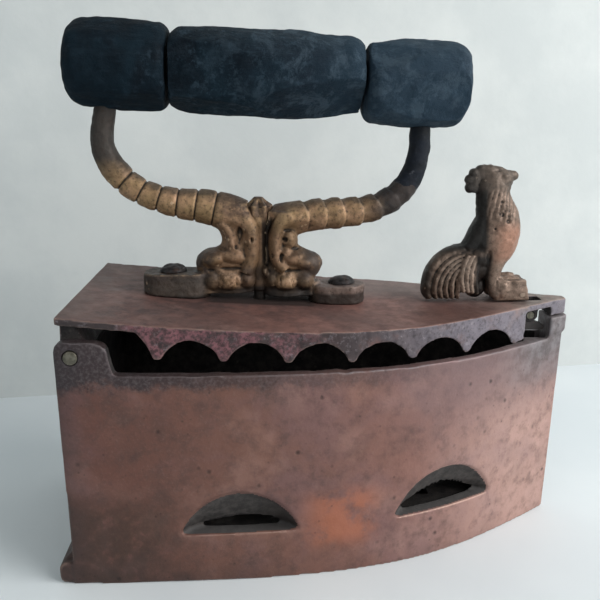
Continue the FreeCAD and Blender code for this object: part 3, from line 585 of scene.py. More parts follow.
def arm_brass():
    """Ochre brass on the sides of the arms, dark in the grooves, along the top and up the stems, with painted
    highlights on the lobes of the bases and painted shade between and under the figures and beside the
    finial.
    """
    p = Paint("cast_brass_arm")
    clouds = p.noise(12, 5, 0.6, 0.3)
    grain = p.noise(2.4, 5, 0.65, 3.4)
    fine = p.noise(0.7, 3, 0.6, 8.4)
    p.ground(p.step(clouds, 0.35, 0.65), (142, 116, 82), (172, 136, 106))
    p.coat((92, 70, 50), p.step(grain, 0.42, 0.7), 0.55)
    p.coat((186, 160, 124), p.step(fine, 0.55, 0.8), 0.3)
    crown = p.times(p.step(p.facing[2], 0.35, 0.85), 0.75)
    p.coat((60, 56, 50), crown)
    figure = p.band(p.z, 0.1335, 0.1290, 0.1060, 0.1120)
    p.coat((80, 58, 43), figure, 0.55)
    crest = p.times(p.step(p.z, 0.1305, 0.1360), p.band(p.x, 0.0520, 0.0620, 0.0850, 0.0800))
    p.coat((60, 46, 43), crest, p.step(grain, 0.3, 0.55), 0.7)
    stem = p.step(p.ragged(p.z, clouds, 0.012), 0.146, 0.158)
    rear = p.step(p.x, 0.08, 0.06)
    p.coat((36, 37, 39), stem, rear, 0.93)
    bend = p.step(p.ragged(p.x, clouds, 0.012), 0.110, 0.124)
    p.coat((36, 37, 41), bend, 0.93)
    pads = p.sum("ADD", p.step(p.x, 0.055, 0.049), p.step(p.x, 0.092, 0.097), True)
    low = p.times(p.step(p.z, 0.1125, 0.1095), pads)
    pad_grey = p.mix(p.step(p.x, 0.07, 0.09), (60, 57, 56), (104, 90, 86))
    p.coat(pad_grey, low, 0.9)
    # Painted highlight on the lobes of the figures' bases.
    lit = p.sum("ADD", p.band(p.x, 0.0545, 0.0575, 0.0655, 0.0630),
                p.band(p.x, 0.0775, 0.0800, 0.0880, 0.0855), True)
    lobes = p.times(p.step(p.z, 0.1135, 0.1105), p.step(grain, 0.62, 0.4), lit)
    p.coat((186, 154, 128), lobes, 0.6)
    flank = p.sum("ADD", p.step(p.x, 0.0560, 0.0510), p.step(p.x, 0.0880, 0.0930), True)
    outer = p.times(flank, p.band(p.z, 0.1240, 0.1190, 0.1085, 0.1110),
                    p.step(p.noise(3.4, 5, 0.7, 37.0), 0.35, 0.55))
    p.coat((54, 49, 48), outer, 0.8)
    # Painted shade low down between the lobes.
    gap = p.times(p.step(p.z, 0.1160, 0.1120), p.less(lit), p.less(pads))
    p.coat((50, 42, 39), gap, 0.7)
    # Painted shade along the bottoms of the figures and arms, where they meet the lid.
    middle = p.band(p.x, 0.052, 0.057, 0.096, 0.091)
    p.coat((26, 20, 18), p.step(p.z, 0.1065, 0.1045), middle, 0.92)
    p.coat((24, 20, 18), p.step(p.z, 0.1035, 0.1020, 0.0, 0.8))
    # Painted shadow in the crevice between the finial and the front arm.
    off = p.sum("SUBTRACT", p.z, 0.1225)
    margin = p.sum("SUBTRACT", p.x, p.times(27.0, off, off))
    finial_shadow = p.times(p.step(p.x, 0.0728, 0.0736), p.step(margin, 0.0766, 0.0750),
                      p.band(p.z, 0.1350, 0.1310, 0.1120, 0.1160))
    p.coat((26, 20, 16), finial_shadow, 0.9)
    p.coat((50, 38, 30), p.step(p.noise(1.1, 4, 0.7, 14.0), 0.52, 0.64), 0.6)
    specks = p.times(p.dots(1.6, 0.38, 2.0), p.step(p.noise(6, 4, 0.6, 17.0), 0.45, 0.6))
    p.coat((44, 33, 25), specks, 0.7)
    hollow = p.less(p.edges(0.455, 0.497))
    p.coat((26, 20, 15), hollow, 0.92)
    edge = p.times(p.edges(0.52, 0.58), p.step(grain, 0.25, 0.5), p.less(p.times(bend, 0.6)),
                   p.step(p.z, 0.1045, 0.1070))
    p.coat((206, 178, 146), edge, 0.5)
    p.bump((grain, 0.28), (fine, 0.12))
    return p.done(p.step(grain, 0.2, 0.8, 0.46, 0.7), 0.28, 0.4)


def blackened():
    """Black paint carried from the grip down the front stem, thin and rubbed."""
    p = Paint("blackened_brass")
    wash = p.noise(7, 5, 0.65, 2.9)
    fine = p.noise(1.2, 4, 0.65, 5.9)
    p.ground(p.step(wash, 0.35, 0.65), (5, 10, 17), (20, 26, 36))
    p.coat((50, 55, 64), p.step(fine, 0.52, 0.75), 0.5)
    scuffed = p.times(p.step(p.noise(4, 4, 0.6, 7.5), 0.58, 0.68), p.step(p.z, 0.160, 0.150))
    p.coat((96, 98, 104), scuffed, 0.5)
    p.bump((wash, 0.3), (fine, 0.12))
    return p.done(p.step(wash, 0.2, 0.8, 0.6, 0.8), 0.0, 0.25)


def rooster_brass():
    """Brown brass, rubbed bright on the breast and ridges, black in the feather grooves; the breast also
    carries a painted highlight, and painted shade darkens the back of the neck, the rear of the comb, the
    crevice behind the legs, the undersides and the tail's rearmost band.
    """
    p = Paint("cast_brass_rooster")
    clouds = p.noise(9, 5, 0.6, 0.9)
    grain = p.noise(1.8, 5, 0.65, 2.4)
    fine = p.noise(0.6, 3, 0.6, 6.4)
    p.ground(p.step(clouds, 0.35, 0.65), (104, 86, 74), (140, 118, 104))
    p.coat((66, 54, 46), p.step(grain, 0.42, 0.7), 0.55)
    # Painted highlight on the breast, over brass rubbed bright there.
    rubbed = p.times(p.step(p.x, 0.163, 0.172), p.band(p.z, 0.112, 0.118, 0.133, 0.126))
    p.coat((166, 118, 96), rubbed, 0.6)
    mottle = p.times(p.step(p.noise(1.3, 5, 0.75, 12.0), 0.5, 0.62), p.less(p.times(rubbed, 0.5)))
    p.coat((60, 50, 44), mottle, 0.5)
    # Painted shade on the back of the neck, which turns away from the light.
    back = p.times(p.step(p.x, 0.1648, 0.1628), p.band(p.z, 0.116, 0.121, 0.1460, 0.1425))
    p.coat((26, 27, 27), back, 0.95)
    # Painted shade in the crevice behind the legs, between the tail and the legs.
    behind = p.times(p.band(p.x, 0.1590, 0.1606, 0.1672, 0.1652), p.step(p.z, 0.120, 0.116))
    p.coat((16, 13, 13), behind, 0.92)
    # Painted shade on the downward faces low on the bird.
    under = p.times(p.step(p.facing[2], -0.2, -0.6), p.step(p.z, 0.108, 0.105), p.step(p.x, 0.170, 0.168))
    p.coat((12, 10, 10), under, 0.9)
    # Painted shade on the rear lobes of the comb, which turn away from the light.
    crest = p.times(p.step(p.x, 0.166, 0.157), p.step(p.z, 0.1410, 0.1445))
    p.coat((26, 26, 30), crest, 0.92)
    p.coat((74, 68, 62), p.step(p.z, 0.140, 0.146, 0.0, 0.6))
    tail = p.times(p.band(p.x, 0.1605, 0.1590, 0.1430, 0.1470), p.step(p.z, 0.119, 0.115))
    p.coat((150, 132, 118), tail, p.step(grain, 0.62, 0.42), 0.5)
    crown = p.times(p.step(p.facing[2], 0.3, 0.8), p.step(p.x, 0.165, 0.150))
    p.coat((40, 37, 35), crown, 0.6)
    # Painted shade on the rearmost band of the tail, which turns away from the light.
    outer = p.times(p.step(p.x, 0.1445, 0.1405), p.step(p.z, 0.124, 0.118))
    p.coat((34, 30, 27), outer, 0.85)
    hollow = p.less(p.edges(0.46, 0.497))
    p.coat((20, 15, 13), hollow, 0.94)
    edge = p.times(p.edges(0.515, 0.60), p.step(grain, 0.35, 0.55), p.less(back), p.less(p.times(crest, 0.7)))
    p.coat((190, 170, 152), edge, 0.4)
    p.bump((grain, 0.22), (fine, 0.10))
    return p.done(p.step(grain, 0.2, 0.8, 0.36, 0.6), 0.45, 0.45)


def black_wood():
    """Worn blue-black paint over hand-shaped wood: grain along the grip, rubbed patches, and painted light
    that makes the grips paler towards the front and on their tops.
    """
    p = Paint("black_wood")
    patches = p.noise(16, 5, 0.6, 1.9, 0.6)
    fibres = p.noise(2.2, 6, 0.7, 4.9, 0.3, (0.16, 1.0, 1.0))
    fine = p.noise(0.8, 4, 0.6, 8.9)
    p.ground(p.step(patches, 0.35, 0.65), (5, 15, 23), (16, 31, 40))
    p.coat((36, 50, 60), p.step(fibres, 0.5, 0.75), 0.5)
    # Painted light: paler towards the front grip, which faces the light, and on the tops.
    p.coat((54, 71, 86), p.step(p.x, 0.05, 0.14, 0.0, 0.5))
    crown = p.times(p.step(p.facing[2], 0.35, 0.85), p.step(p.x, 0.03, 0.07), 0.2)
    p.coat((48, 64, 74), crown)
    p.coat((8, 13, 18), p.step(fine, 0.58, 0.8), 0.35)
    rubbed = p.times(p.step(p.x, 0.03, 0.10), p.step(p.noise(10, 6, 0.75, 3.3, 0.8), 0.48, 0.6))
    p.coat((64, 78, 89), rubbed, 0.55)
    chips = p.times(p.step(p.noise(2.6, 5, 0.75, 21.0), 0.5, 0.62),
                    p.step(p.noise(14, 3, 0.6, 23.0), 0.42, 0.58))
    p.coat((60, 77, 90), chips, p.step(p.x, 0.0, 0.06, 0.12, 0.35))
    scuffs = p.times(p.dots(7, 0.18, 4.0), p.step(p.noise(20, 3, 0.6, 9.9), 0.5, 0.6))
    p.coat((82, 92, 98), scuffs, 0.4)
    edge = p.times(p.edges(0.515, 0.57), p.step(fibres, 0.35, 0.6))
    p.coat((58, 70, 78), edge, 0.3)
    p.bump((p.noise(5.0, 6, 0.7, 26.0), 0.9), (fibres, 0.4), (fine, 0.12))
    return p.done(p.step(patches, 0.3, 0.7, 0.66, 0.85), 0.0, 0.1)


def dark_iron():
    """Old iron of bolts, nuts and washers, brown with rust in its pits."""
    p = Paint("dark_iron")
    grain = p.noise(2.0, 5, 0.65, 1.4)
    rust = p.noise(4.5, 5, 0.6, 7.4)
    p.ground(p.step(grain, 0.35, 0.7), (30, 28, 30), (60, 55, 55))
    p.coat((78, 52, 40), p.step(rust, 0.5, 0.7), 0.5)
    edge = p.edges(0.52, 0.6)
    p.coat((118, 112, 110), edge, 0.3)
    p.bump((grain, 0.3))
    return p.done(p.step(grain, 0.2, 0.8, 0.45, 0.7), 0.6, 0.5)


def grate_iron():
    """Scaled grey iron under the coals, dusted with ash."""
    p = Paint("grate_iron")
    scale = p.noise(3.5, 6, 0.7, 5.4)
    ash = p.noise(11, 4, 0.6, 2.7)
    p.ground(p.step(scale, 0.35, 0.7), (20, 18, 18), (44, 39, 37))
    p.coat((84, 80, 76), p.step(ash, 0.52, 0.66), 0.45)
    p.bump((scale, 0.4))
    return p.done(p.step(scale, 0.2, 0.8, 0.6, 0.9), 0.2, 0.35)


def pin_brass():
    """Pale brass pins, dulled and scratched by hammering."""
    p = Paint("pin_brass")
    grain = p.noise(1.5, 5, 0.65, 0.4)
    scratches = p.noise(1.6, 3, 0.6, 2.4, 0.0, (1.0, 1.0, 0.12))
    p.ground(p.step(grain, 0.35, 0.7), (86, 82, 72), (122, 118, 106))
    p.coat((150, 144, 128), p.step(scratches, 0.5, 0.7), 0.4)
    p.bump((grain, 0.18))
    return p.done(p.step(grain, 0.2, 0.8, 0.3, 0.5), 0.75, 0.5)


FINISH = {
    "cast_brass_body": body_brass(),
    "cast_brass_lid": lid_brass(),
    "cast_brass_arm": arm_brass(),
    "cast_brass_rooster": rooster_brass(),
    "pin_brass": pin_brass(),
    "dark_iron": dark_iron(),
    "grate_iron": grate_iron(),
    "black_wood": black_wood(),
}
SOOT = soot()
ASH = ash_grey()
BLACKENED = blackened()


# ---------------------------------------------------------------- body of the iron
def cast_skin(points, deep, broad):
    """Slight hollows of an old sand casting: never proud of the drawn surface."""
    waves = (noise(points, broad, 3) + 1) / 2
    lumps = (noise(points, broad / 4, 5) + 1) / 2
    return -deep * (0.6 * waves + 0.4 * lumps)


SKIN_DEPTH = 1.1             # a face deeper than this inside the flank belongs to the fire box
HOOD_DEPTH = 6.2             # and one less deep than this, low down, to a draught hole
FIRE_BOX_FLOOR = 9.0
FIRE_BOX_ENDS = (2.0, 191.0)
RIM_LOW = 78.0
HOOD_TOP = 45
LID_EDGE = 1.4               # the lid's outer face reaches this deep


def build_body():
    body = remesh(copy_of("body_shell", "body_casting"), 0.72, 3)

    def wear(points, normals):
        depth = cast_skin(points, 0.35, 22.0)
        near_rim = smooth_step(points[:, 2], BODY_HIGH[2] - 17, BODY_HIGH[2] - 12)
        rim = near_rim * smooth_step(normals[:, 2], 0.3, 0.8)
        nicks = smooth_step(noise(points, 5.0, 8), 0.1, 0.8) * 0.5
        return depth - rim * nicks

    sculpt(body, wear)
    finish_piece(body, "base", "cast_brass_body", ["body_shell"], FINISH["cast_brass_body"], SOOT, ASH)

    def region(centres, normals):
        """0 outside, 1 in the fire box, 2 on the hoods and sills of the draught holes."""
        x, y, z = centres.T
        lean = 1.0 - z / BODY_HIGH[2]
        slope = (flank_half(x + 1) - flank_half(x - 1)) / 2
        depth = (flank_half(x) - lean - np.abs(y)) / np.sqrt(1 + slope ** 2)
        hidden = (depth > SKIN_DEPTH) & (z > FIRE_BOX_FLOOR) & (x > FIRE_BOX_ENDS[0]) & (x < FIRE_BOX_ENDS[1])
        rim_face = (normals[:, 2] > 0.5) & (z > RIM_LOW)
        fire_box = hidden & ~rim_face
        hood = fire_box & (depth < HOOD_DEPTH) & (z < HOOD_TOP)
        return np.where(hood, 2, np.where(fire_box, 1, 0))

    assign_materials(body, region)


# ---------------------------------------------------------------- lid
def build_lid():
    lid = remesh(copy_of("lid_plate", "lid_casting"), 0.6, 3)

    def wear(points, normals):
        depth = cast_skin(points, 0.25, 18.0)
        rim = hump(np.abs(points[:, 1]) - lid_half(points[:, 0]), 2.5)
        nicks = smooth_step(noise(points, 3.5, 2), 0.0, 0.8) * 0.45
        return depth - rim * nicks

    sculpt(lid, wear)
    finish_piece(lid, "lid", "cast_brass_lid", ["lid_plate"], FINISH["cast_brass_lid"], SOOT)

    def region(centres, normals):
        """0 on top and outside, 1 underneath and inside the skirts."""
        x, y, z = centres.T
        slope = (lid_half(x + 1) - lid_half(x - 1)) / 2
        depth = (lid_half(x) - np.abs(y)) / np.sqrt(1 + slope ** 2)
        inner = (depth > LID_EDGE) & (x > 2.0) & (x < LID_HIGH[0] - 5)
        return (inner & (normals[:, 2] < 0.3)).astype(int)

    assign_materials(lid, region)


# ---------------------------------------------------------------- handle arms
# The arms' centre lines, as (x, z) from the figure up to the grip.
REAR_GUIDE = ((66, 132), (58, 135.6), (48, 137.8), (36, 139.8), (25.5, 144), (16.8, 151.6), (12.4, 162),
              (14.6, 187))
FRONT_GUIDE = ((77.5, 130), (86, 132.4), (96, 134), (108, 134.8), (120.5, 137.4), (130.4, 144.6), (135, 154),
               (136, 181))
finial_low, finial_high = box_mm("centre_finial")
FINIAL_X = (finial_low[0] + finial_high[0]) / 2
FIGURE_HEIGHTS = (101.0, 133.0)
SLIM = 0.74                  # the figures' cores are drawn in to this share of their thickness
ARM_VOXEL = 0.42
ARM_SMOOTHING = 9
SEAM = 0.03                  # each arm stops this short of the plane where the two meet


def dents(points, normals, places):
    """Small marks on both flanks of a figure. Each is (x, z, half width, half height, depth)."""
    total = np.zeros(len(points))
    side = smooth_step(np.abs(normals[:, 1]), 0.1, 0.5)
    for x, z, wide, high, depth in places:
        away = np.hypot((points[:, 0] - x) / wide, (points[:, 2] - z) / high)
        total += depth * (1 - smooth_step(away, 0.35, 1.0))
    return total * side


def bar_across(name, stations):
    """A rounded rib that spans a figure from flank to flank. Stations as in swept()."""
    return swept(name, stations, count=24)


def rear_figure():
    """A bird-necked figure: the bar bends down into a column, over a shoulder and a lobed base."""
    return [
        bar_across("neck", ((60.5, 136.0, 5.4, 6.6), (65.6, 133.6, 5.0, 7.1), (68.6, 128.5, 4.2, 7.5),
                            (69.2, 122.5, 3.8, 7.5), (68.6, 117.0, 4.0, 7.4), (66.6, 111.5, 4.0, 7.6))),
        bar_across("nape", ((57.4, 131.6, 3.0, 6.0), (60.4, 127.0, 2.4, 6.2), (61.4, 122.8, 2.6, 6.6),
                            (64.0, 119.0, 3.0, 7.2))),
        egg("breast", (61.4, 0, 118.2), (8.0, 8.0, 4.0), -12),
        egg("shoulder", (53.8, 0, 117.0), (7.0, 8.2, 3.9), 8),
        egg("hollow", (64.6, 0, 125.4), (4.4, 5.4, 5.4)),
        egg("base", (59.8, 0, 108.4), (6.6, 8.7, 5.2), 2),
        egg("base_back", (53.4, 0, 108.4), (4.6, 7.6, 5.0)),
        egg("base_front", (67.0, 0, 108.6), (3.8, 6.9, 4.8)),
    ]


def front_figure():
    """Its partner towards the nose: a column, a small face beside it, a shoulder and a lobed base."""
    return [
        bar_across("neck", ((85.0, 134.4, 4.8, 6.7), (81.2, 131.8, 4.2, 7.3), (79.2, 128.0, 3.4, 7.5),
                            (78.6, 122.0, 3.3, 7.6), (79.4, 116.2, 3.5, 7.8), (82.4, 112.4, 3.6, 8.0))),
        egg("face", (84.0, 0, 124.6), (3.8, 6.9, 5.6), 8),
        egg("jaw", (82.4, 0, 119.0), (3.6, 7.2, 4.0)),
        egg("breast", (86.0, 0, 116.8), (6.0, 8.0, 3.9), 10),
        egg("shoulder", (89.8, 0, 115.4), (5.6, 8.2, 3.9), -6),
        egg("base", (82.6, 0, 107.8), (6.0, 8.8, 5.2), -3),
        egg("base_front", (90.2, 0, 107.6), (4.4, 7.7, 4.6)),
        egg("base_back", (77.2, 0, 108.4), (2.8, 6.9, 4.2)),
        egg("knot", (74.4, 0, 111.6), (1.8, 6.4, 3.0)),
    ]


# Eyes, nostrils and creases of the figures, as in dents().
REAR_MARKS = ((64.3, 126.4, 1.8, 4.4, -1.5), (69.1, 125.0, 1.1, 1.3, -1.3), (63.0, 122.2, 1.0, 1.1, -0.9),
              (57.2, 107.6, 0.9, 3.0, -0.5), (63.2, 108.0, 0.9, 3.2, -0.6), (60.4, 113.4, 5.4, 1.1, -1.0),
              (57.6, 121.2, 2.6, 1.0, -0.6), (52.6, 112.8, 2.2, 1.0, -0.6))
FRONT_MARKS = ((82.3, 124.9, 1.2, 1.5, -1.4), (81.0, 117.8, 1.0, 2.4, -1.2), (76.9, 118.4, 0.9, 1.7, -0.9),
               (85.4, 107.6, 0.9, 3.0, -0.5), (80.2, 108.2, 0.8, 2.8, -0.5), (86.6, 121.0, 2.6, 0.9, -0.7),
               (85.4, 112.2, 4.6, 1.0, -0.8), (83.4, 128.4, 2.2, 0.8, -0.5))


def slimmed(piece, low, high):
    """Draw a casting's flanks in between two heights, to leave room for relief laid over them."""
    mesh = piece.data
    points = points_mm(mesh)
    z = points[:, 2]
    amount = smooth_step(z, low, low + 3) * (1 - smooth_step(z, high - 4, high))
    inboard = smooth_step(np.abs(points[:, 0] - FINIAL_X), 24, 18)
    points[:, 1] *= 1 - (1 - SLIM) * amount * inboard
    mesh.vertices.foreach_set("co", (points * MM).ravel())
    return piece


def rear_ribs(along):
    """Rounded ribs parted by narrow grooves."""
    pitch = 7.35
    start = 12.3
    count = 6
    inside = (along > start - 1) & (along < start + pitch * (count - 1) + 1)
    phase = (along - start) / pitch
    groove = hump((phase - np.round(phase)) * pitch, 0.8)
    swell = np.abs((phase - np.floor(phase)) * 2 - 1) ** 3
    return inside * (-0.6 * groove - 0.28 * swell)


def front_ribs(along, points):
    """Overlapping scales: each swells towards the nose and drops to the next, its rim bowed forward."""
    pitch = 7.4
    start = 12.4
    count = 6
    bowed = along - 1.6 * (points[:, 1] / 6.0) ** 2
    inside = (bowed > start) & (bowed < start + pitch * count)
    phase = (bowed - start) / pitch
    share = phase - np.floor(phase)
    rise = np.maximum(smooth_step(share, 0.18, 0.8), 1 - smooth_step(share, 0.0, 0.18))
    fading = 1 - 0.5 * smooth_step(along, 35, 50)
    return inside * fading * -0.85 * (1 - rise)


def build_rear_arm():
    core = slimmed(remesh(copy_of("rear_handle_arm", "rear_arm_core"), ARM_VOXEL, 0), *FIGURE_HEIGHTS)
    arm = remesh(joined("rear_arm_casting", [core, *rear_figure()]), ARM_VOXEL, ARM_SMOOTHING)
    cut_flat(arm, [((FINIAL_X - SEAM, 0, 0), (1, 0, 0))])

    def carve(points, normals):
        along = distance_along(points, REAR_GUIDE)
        bar = smooth_step(points[:, 2], 128.5, 131.5)
        lumps = noise(points, 4.0, 6) * 0.2 + noise(points, 1.6, 9) * 0.15
        return rear_ribs(along) * bar + dents(points, normals, REAR_MARKS) * (points[:, 2] < 136) + lumps

    sculpt(arm, carve)
    finish_piece(arm, "lid", "cast_brass_arm", ["rear_handle_arm"], FINISH["cast_brass_arm"])


def build_front_arm():
    core = slimmed(remesh(copy_of("front_handle_arm", "front_arm_core"), ARM_VOXEL, 0), *FIGURE_HEIGHTS)
    arm = remesh(joined("front_arm_casting", [core, *front_figure()]), ARM_VOXEL, ARM_SMOOTHING)
    cut_flat(arm, [((FINIAL_X + SEAM, 0, 0), (-1, 0, 0))])

    def carve(points, normals):
        along = distance_along(points, FRONT_GUIDE)
        bar = smooth_step(points[:, 2], 127.0, 130.0)
        lumps = noise(points, 4.0, 16) * 0.2 + noise(points, 1.6, 19) * 0.15
        margin = 75.4 + 2.7 * ((points[:, 2] - 122.5) / 10) ** 2
        between = smooth_step(points[:, 2], 112.5, 116.0) * (1 - smooth_step(points[:, 2], 131.5, 136.5))
        cheek = (1 - smooth_step(points[:, 0] - margin, -0.9, 0.5)) * between
        side = smooth_step(np.abs(normals[:, 1]), 0.2, 0.6)
        relief = front_ribs(along, points) * bar + dents(points, normals, FRONT_MARKS)
        return relief + lumps - 1.6 * cheek * side

    sculpt(arm, carve)
    finish_piece(arm, "lid", "cast_brass_arm", ["front_handle_arm"], FINISH["cast_brass_arm"], BLACKENED)

    def region(centres, normals):
        """1 on the blackened stem above the bend."""
        ragged = noise(centres, 3.0, 12) * 1.5
        return (centres[:, 2] + 0.5 * (centres[:, 0] - 130) + ragged > 146.0).astype(int)

    assign_materials(arm, region)


def build_finial():
    low, high = box_mm("centre_finial")
    middle = (low + high) / 2
    crest = remesh(copy_of("centre_finial", "finial_casting"), 0.32, 2)

    def leaves(points, normals):
        angle = np.arctan2(points[:, 1], points[:, 0] - middle[0])
        head = smooth_step(points[:, 2], high[2] - 10, high[2] - 6)
        below_tip = 1 - smooth_step(points[:, 2], high[2] - 2, high[2])
        flutes = -1.1 * (0.5 - 0.5 * np.cos(angle * 7 + 1.2)) * below_tip
        return head * flutes + noise(points, 1.8, 4) * 0.12

    sculpt(crest, leaves)
    finish_piece(crest, "lid", "cast_brass_arm", ["centre_finial"], FINISH["cast_brass_arm"])


def build_foot_bolts():
    bolts = remesh(copy_of("foot_bolts", "foot_bolt_heads"), 0.3, 2)
    sculpt(bolts, lambda points, normals: -0.35 * smooth_step(noise(points, 2.2, 3), -0.4, 0.9)
           - 0.25 * smooth_step(noise(points, 1.0, 7), 0.0, 0.9))
    finish_piece(bolts, "lid", "dark_iron", ["foot_bolts"], FINISH["dark_iron"])


# ---------------------------------------------------------------- wooden grips
def build_grip(node, name, seed, flats):
    low, high = box_mm(node)
    middle = (low + high) / 2
    grip = remesh(copy_of(node, name), 0.8, 3)
    random = np.random.default_rng(seed)
    planes = []
    for _ in range(flats):
        turn = random.uniform(0, 2 * math.pi)
        lean = random.uniform(-0.16, 0.16)
        reach = (high[2] - low[2]) / 2 - random.uniform(0.5, 1.5)
        outward = np.array((lean, math.cos(turn), math.sin(turn)))
        at = middle + np.array((random.uniform(-0.3, 0.3) * (high[0] - low[0]), math.cos(turn) * reach,
                                math.sin(turn) * reach))
        planes.append((at, outward))
    cut_flat(grip, planes)

    def hewn(points, normals):
        strokes = noise(points * (0.6, 1, 1), 6.0, seed)
        nicks = noise(points, 2.6, seed + 1)
        return -0.5 * (strokes + 1) - 0.2 * (nicks + 1)

    sculpt(grip, hewn)
    finish_piece(grip, "lid", "black_wood", [node], FINISH["black_wood"])


# ---------------------------------------------------------------- rooster
PERCH_INSET = 0.05           # the visible perch stays this far inside the CAD one
TAIL_CENTRE = (157.4, 103.6)
# One row for each tail feather: reach back, rise, half width, half thickness.
TAIL_SPREAD = ((16.5, 15.6, 2.5, 4.0), (13.5, 13.8, 1.8, 4.9), (11.1, 12.4, 1.6, 5.3), (8.7, 11.2, 1.6, 5.6),
               (6.3, 10.2, 1.6, 5.8), (3.9, 9.2, 1.6, 5.8))


# Pits and knobs of the wing on the breast, as in dents().
BREAST_MARKS = ((169.4, 139.0, 1.2, 0.8, -0.5), (169.0, 134.2, 1.5, 1.3, -0.6),
                (171.8, 131.4, 1.4, 1.2, -0.6), (166.4, 128.5, 0.7, 0.7, -0.45),
                (170.6, 136.6, 1.6, 1.1, 0.45), (167.4, 132.4, 1.3, 1.3, 0.4),
                (172.4, 134.4, 1.2, 1.0, 0.35), (164.6, 117.0, 1.4, 3.6, -0.5))


def tail_feather(i, reach, rise, wide, thick):
    """One tail feather: from the rump back over the tail in an oval arc, then straight down to the lid."""
    cx, cz = TAIL_CENTRE
    stations = []
    for share in np.linspace(0, 1, 8):
        bend = math.radians(68 + 112 * share)
        sway = 0.3 * math.sin(5 * share + i)
        x = cx + (reach + sway) * math.cos(bend)
        z = cz + rise * math.sin(bend)
        stations.append((x, z, wide * (1 - 0.1 * share), thick))
    stations.append((cx - 0.97 * reach, 101.0, 0.85 * wide, 0.92 * thick))
    stations.append((cx - 0.90 * reach, 98.9, 0.65 * wide, 0.8 * thick))
    return swept("feather_%d" % i, stations)


def saddle_feathers():
    """Short plumes that hang from the back over the root of the tail."""
    plumes = []
    for i in range(4):
        x = 154.4 + 1.9 * i
        for side in SIDES:
            plumes.append(swept("plume", ((x + 2.6, 117.6, 0.9, 1.2), (x + 0.6, 113.2, 1.1, 1.5),
                                          (x + 0.1, 107.6, 1.1, 1.5), (x + 1.2, 102.0 - 0.2 * i, 0.8, 1.2)),
                                y=side * (5.4 - 0.2 * abs(i - 1.5))))
    return plumes


def rooster_body(base, front):
    pieces = [
        egg("rump", (160.0, 0, 113.6), (9.0, 6.2, 7.4), -24),
        egg("root", (158.4, 0, 107.4), (5.8, 5.6, 4.8)),
        swept("trunk", ((167.8, 107.0, 4.0, 5.0), (167.8, 111.0, 5.0, 6.0), (167.6, 116.0, 8.2, 7.3),
                        (168.2, 122.0, 10.0, 8.1), (169.2, 127.5, 9.8, 7.9), (169.0, 132.5, 9.0, 7.0),
                        (167.6, 137.5, 7.6, 5.9), (166.8, 142.0, 6.9, 5.4), (166.8, 147.0, 6.6, 5.0),
                        (166.4, 150.6, 4.8, 3.6))),
        egg("head", (169.4, 0, 147.4), (5.2, 4.7, 4.6)),
        egg("crown", (164.8, 0, 149.6), (6.6, 3.4, 3.9), -4),
        swept("beak", ((170.6, 148.2, 3.2, 3.1), (173.8, 148.8, 2.4, 2.1), (175.2, 148.8, 1.9, 1.6),
                       (176.6, 148.5, 1.0, 0.9))),
        swept("spine", ((167.0, 140.0, 2.0, 3.0), (164.6, 134.6, 2.8, 4.4), (163.1, 129.6, 3.6, 5.6),
                        (161.5, 125.4, 4.0, 6.0), (159.6, 122.0, 3.7, 5.6), (157.2, 119.4, 3.0, 4.8))),
        egg("shank", (161.6, 0, 103.4), (4.6, 3.8, 4.8)),
        egg("wattle", (172.4, 0, 144.2), (1.5, 2.2, 1.7), 10),
        swept("comb_root", ((158.6, 142.4, 2.3, 2.3), (158.8, 146.0, 2.9, 2.5), (160.6, 149.6, 2.9, 2.5),
                            (164.0, 150.9, 2.3, 2.4), (169.4, 150.4, 1.8, 1.9))),
    ]
    lobes = ((157.2, 144.2, 2.1, 2.2), (156.9, 147.4, 2.1, 2.0), (158.6, 150.2, 2.1, 1.8),
             (161.4, 151.7, 2.2, 1.6), (164.8, 152.2, 2.3, 1.4), (168.2, 151.6, 2.2, 1.3))
    for i, (x, z, wide, tall) in enumerate(lobes):
        pieces.append(egg("lobe_%d" % i, (x, 0, z), (wide, 2.4, tall)))
    for side in SIDES:
        pieces.append(egg("eye", (170.2, 4.2 * side, 148.9), (1.1, 0.8, 1.0)))
        pieces.append(egg("hip", (162.6, 3.6 * side, 116.4), (5.6, 3.4, 4.4), 38))
        pieces.append(swept("leg", ((168.6, 113.0, 3.4, 2.8), (168.2, 108.0, 2.6, 2.3),
                                    (168.6, 103.6, 2.6, 2.3), (169.4, 99.8, 2.2, 2.1)), 3.4 * side))
        pieces.append(egg("spur", (171.4, 4.0 * side, 104.8), (2.3, 2.0, 3.6), 14))
        pieces.append(egg("claw", (172.2, 4.8 * side, 102.6), (2.7, 1.9, 4.2), -8))
        pieces.append(egg("heel", (169.8, 4.4 * side, 100.8), (2.4, 1.9, 2.9)))
        pieces.append(swept("toe", ((171.0, 106.0, 1.9, 1.8), (175.4, 107.0, 1.5, 1.5),
                                    (179.0, 106.8, 1.2, 1.2)), 3.2 * side))
    toe_end = front - PERCH_INSET
    perch = block("perch", (169.6, -5.95, base + PERCH_INSET), (toe_end, 5.95, base + 8.7))
    pieces.append(cut_flat(perch, [((toe_end, 0, base), (1, 0, 0.17))]))
    return pieces


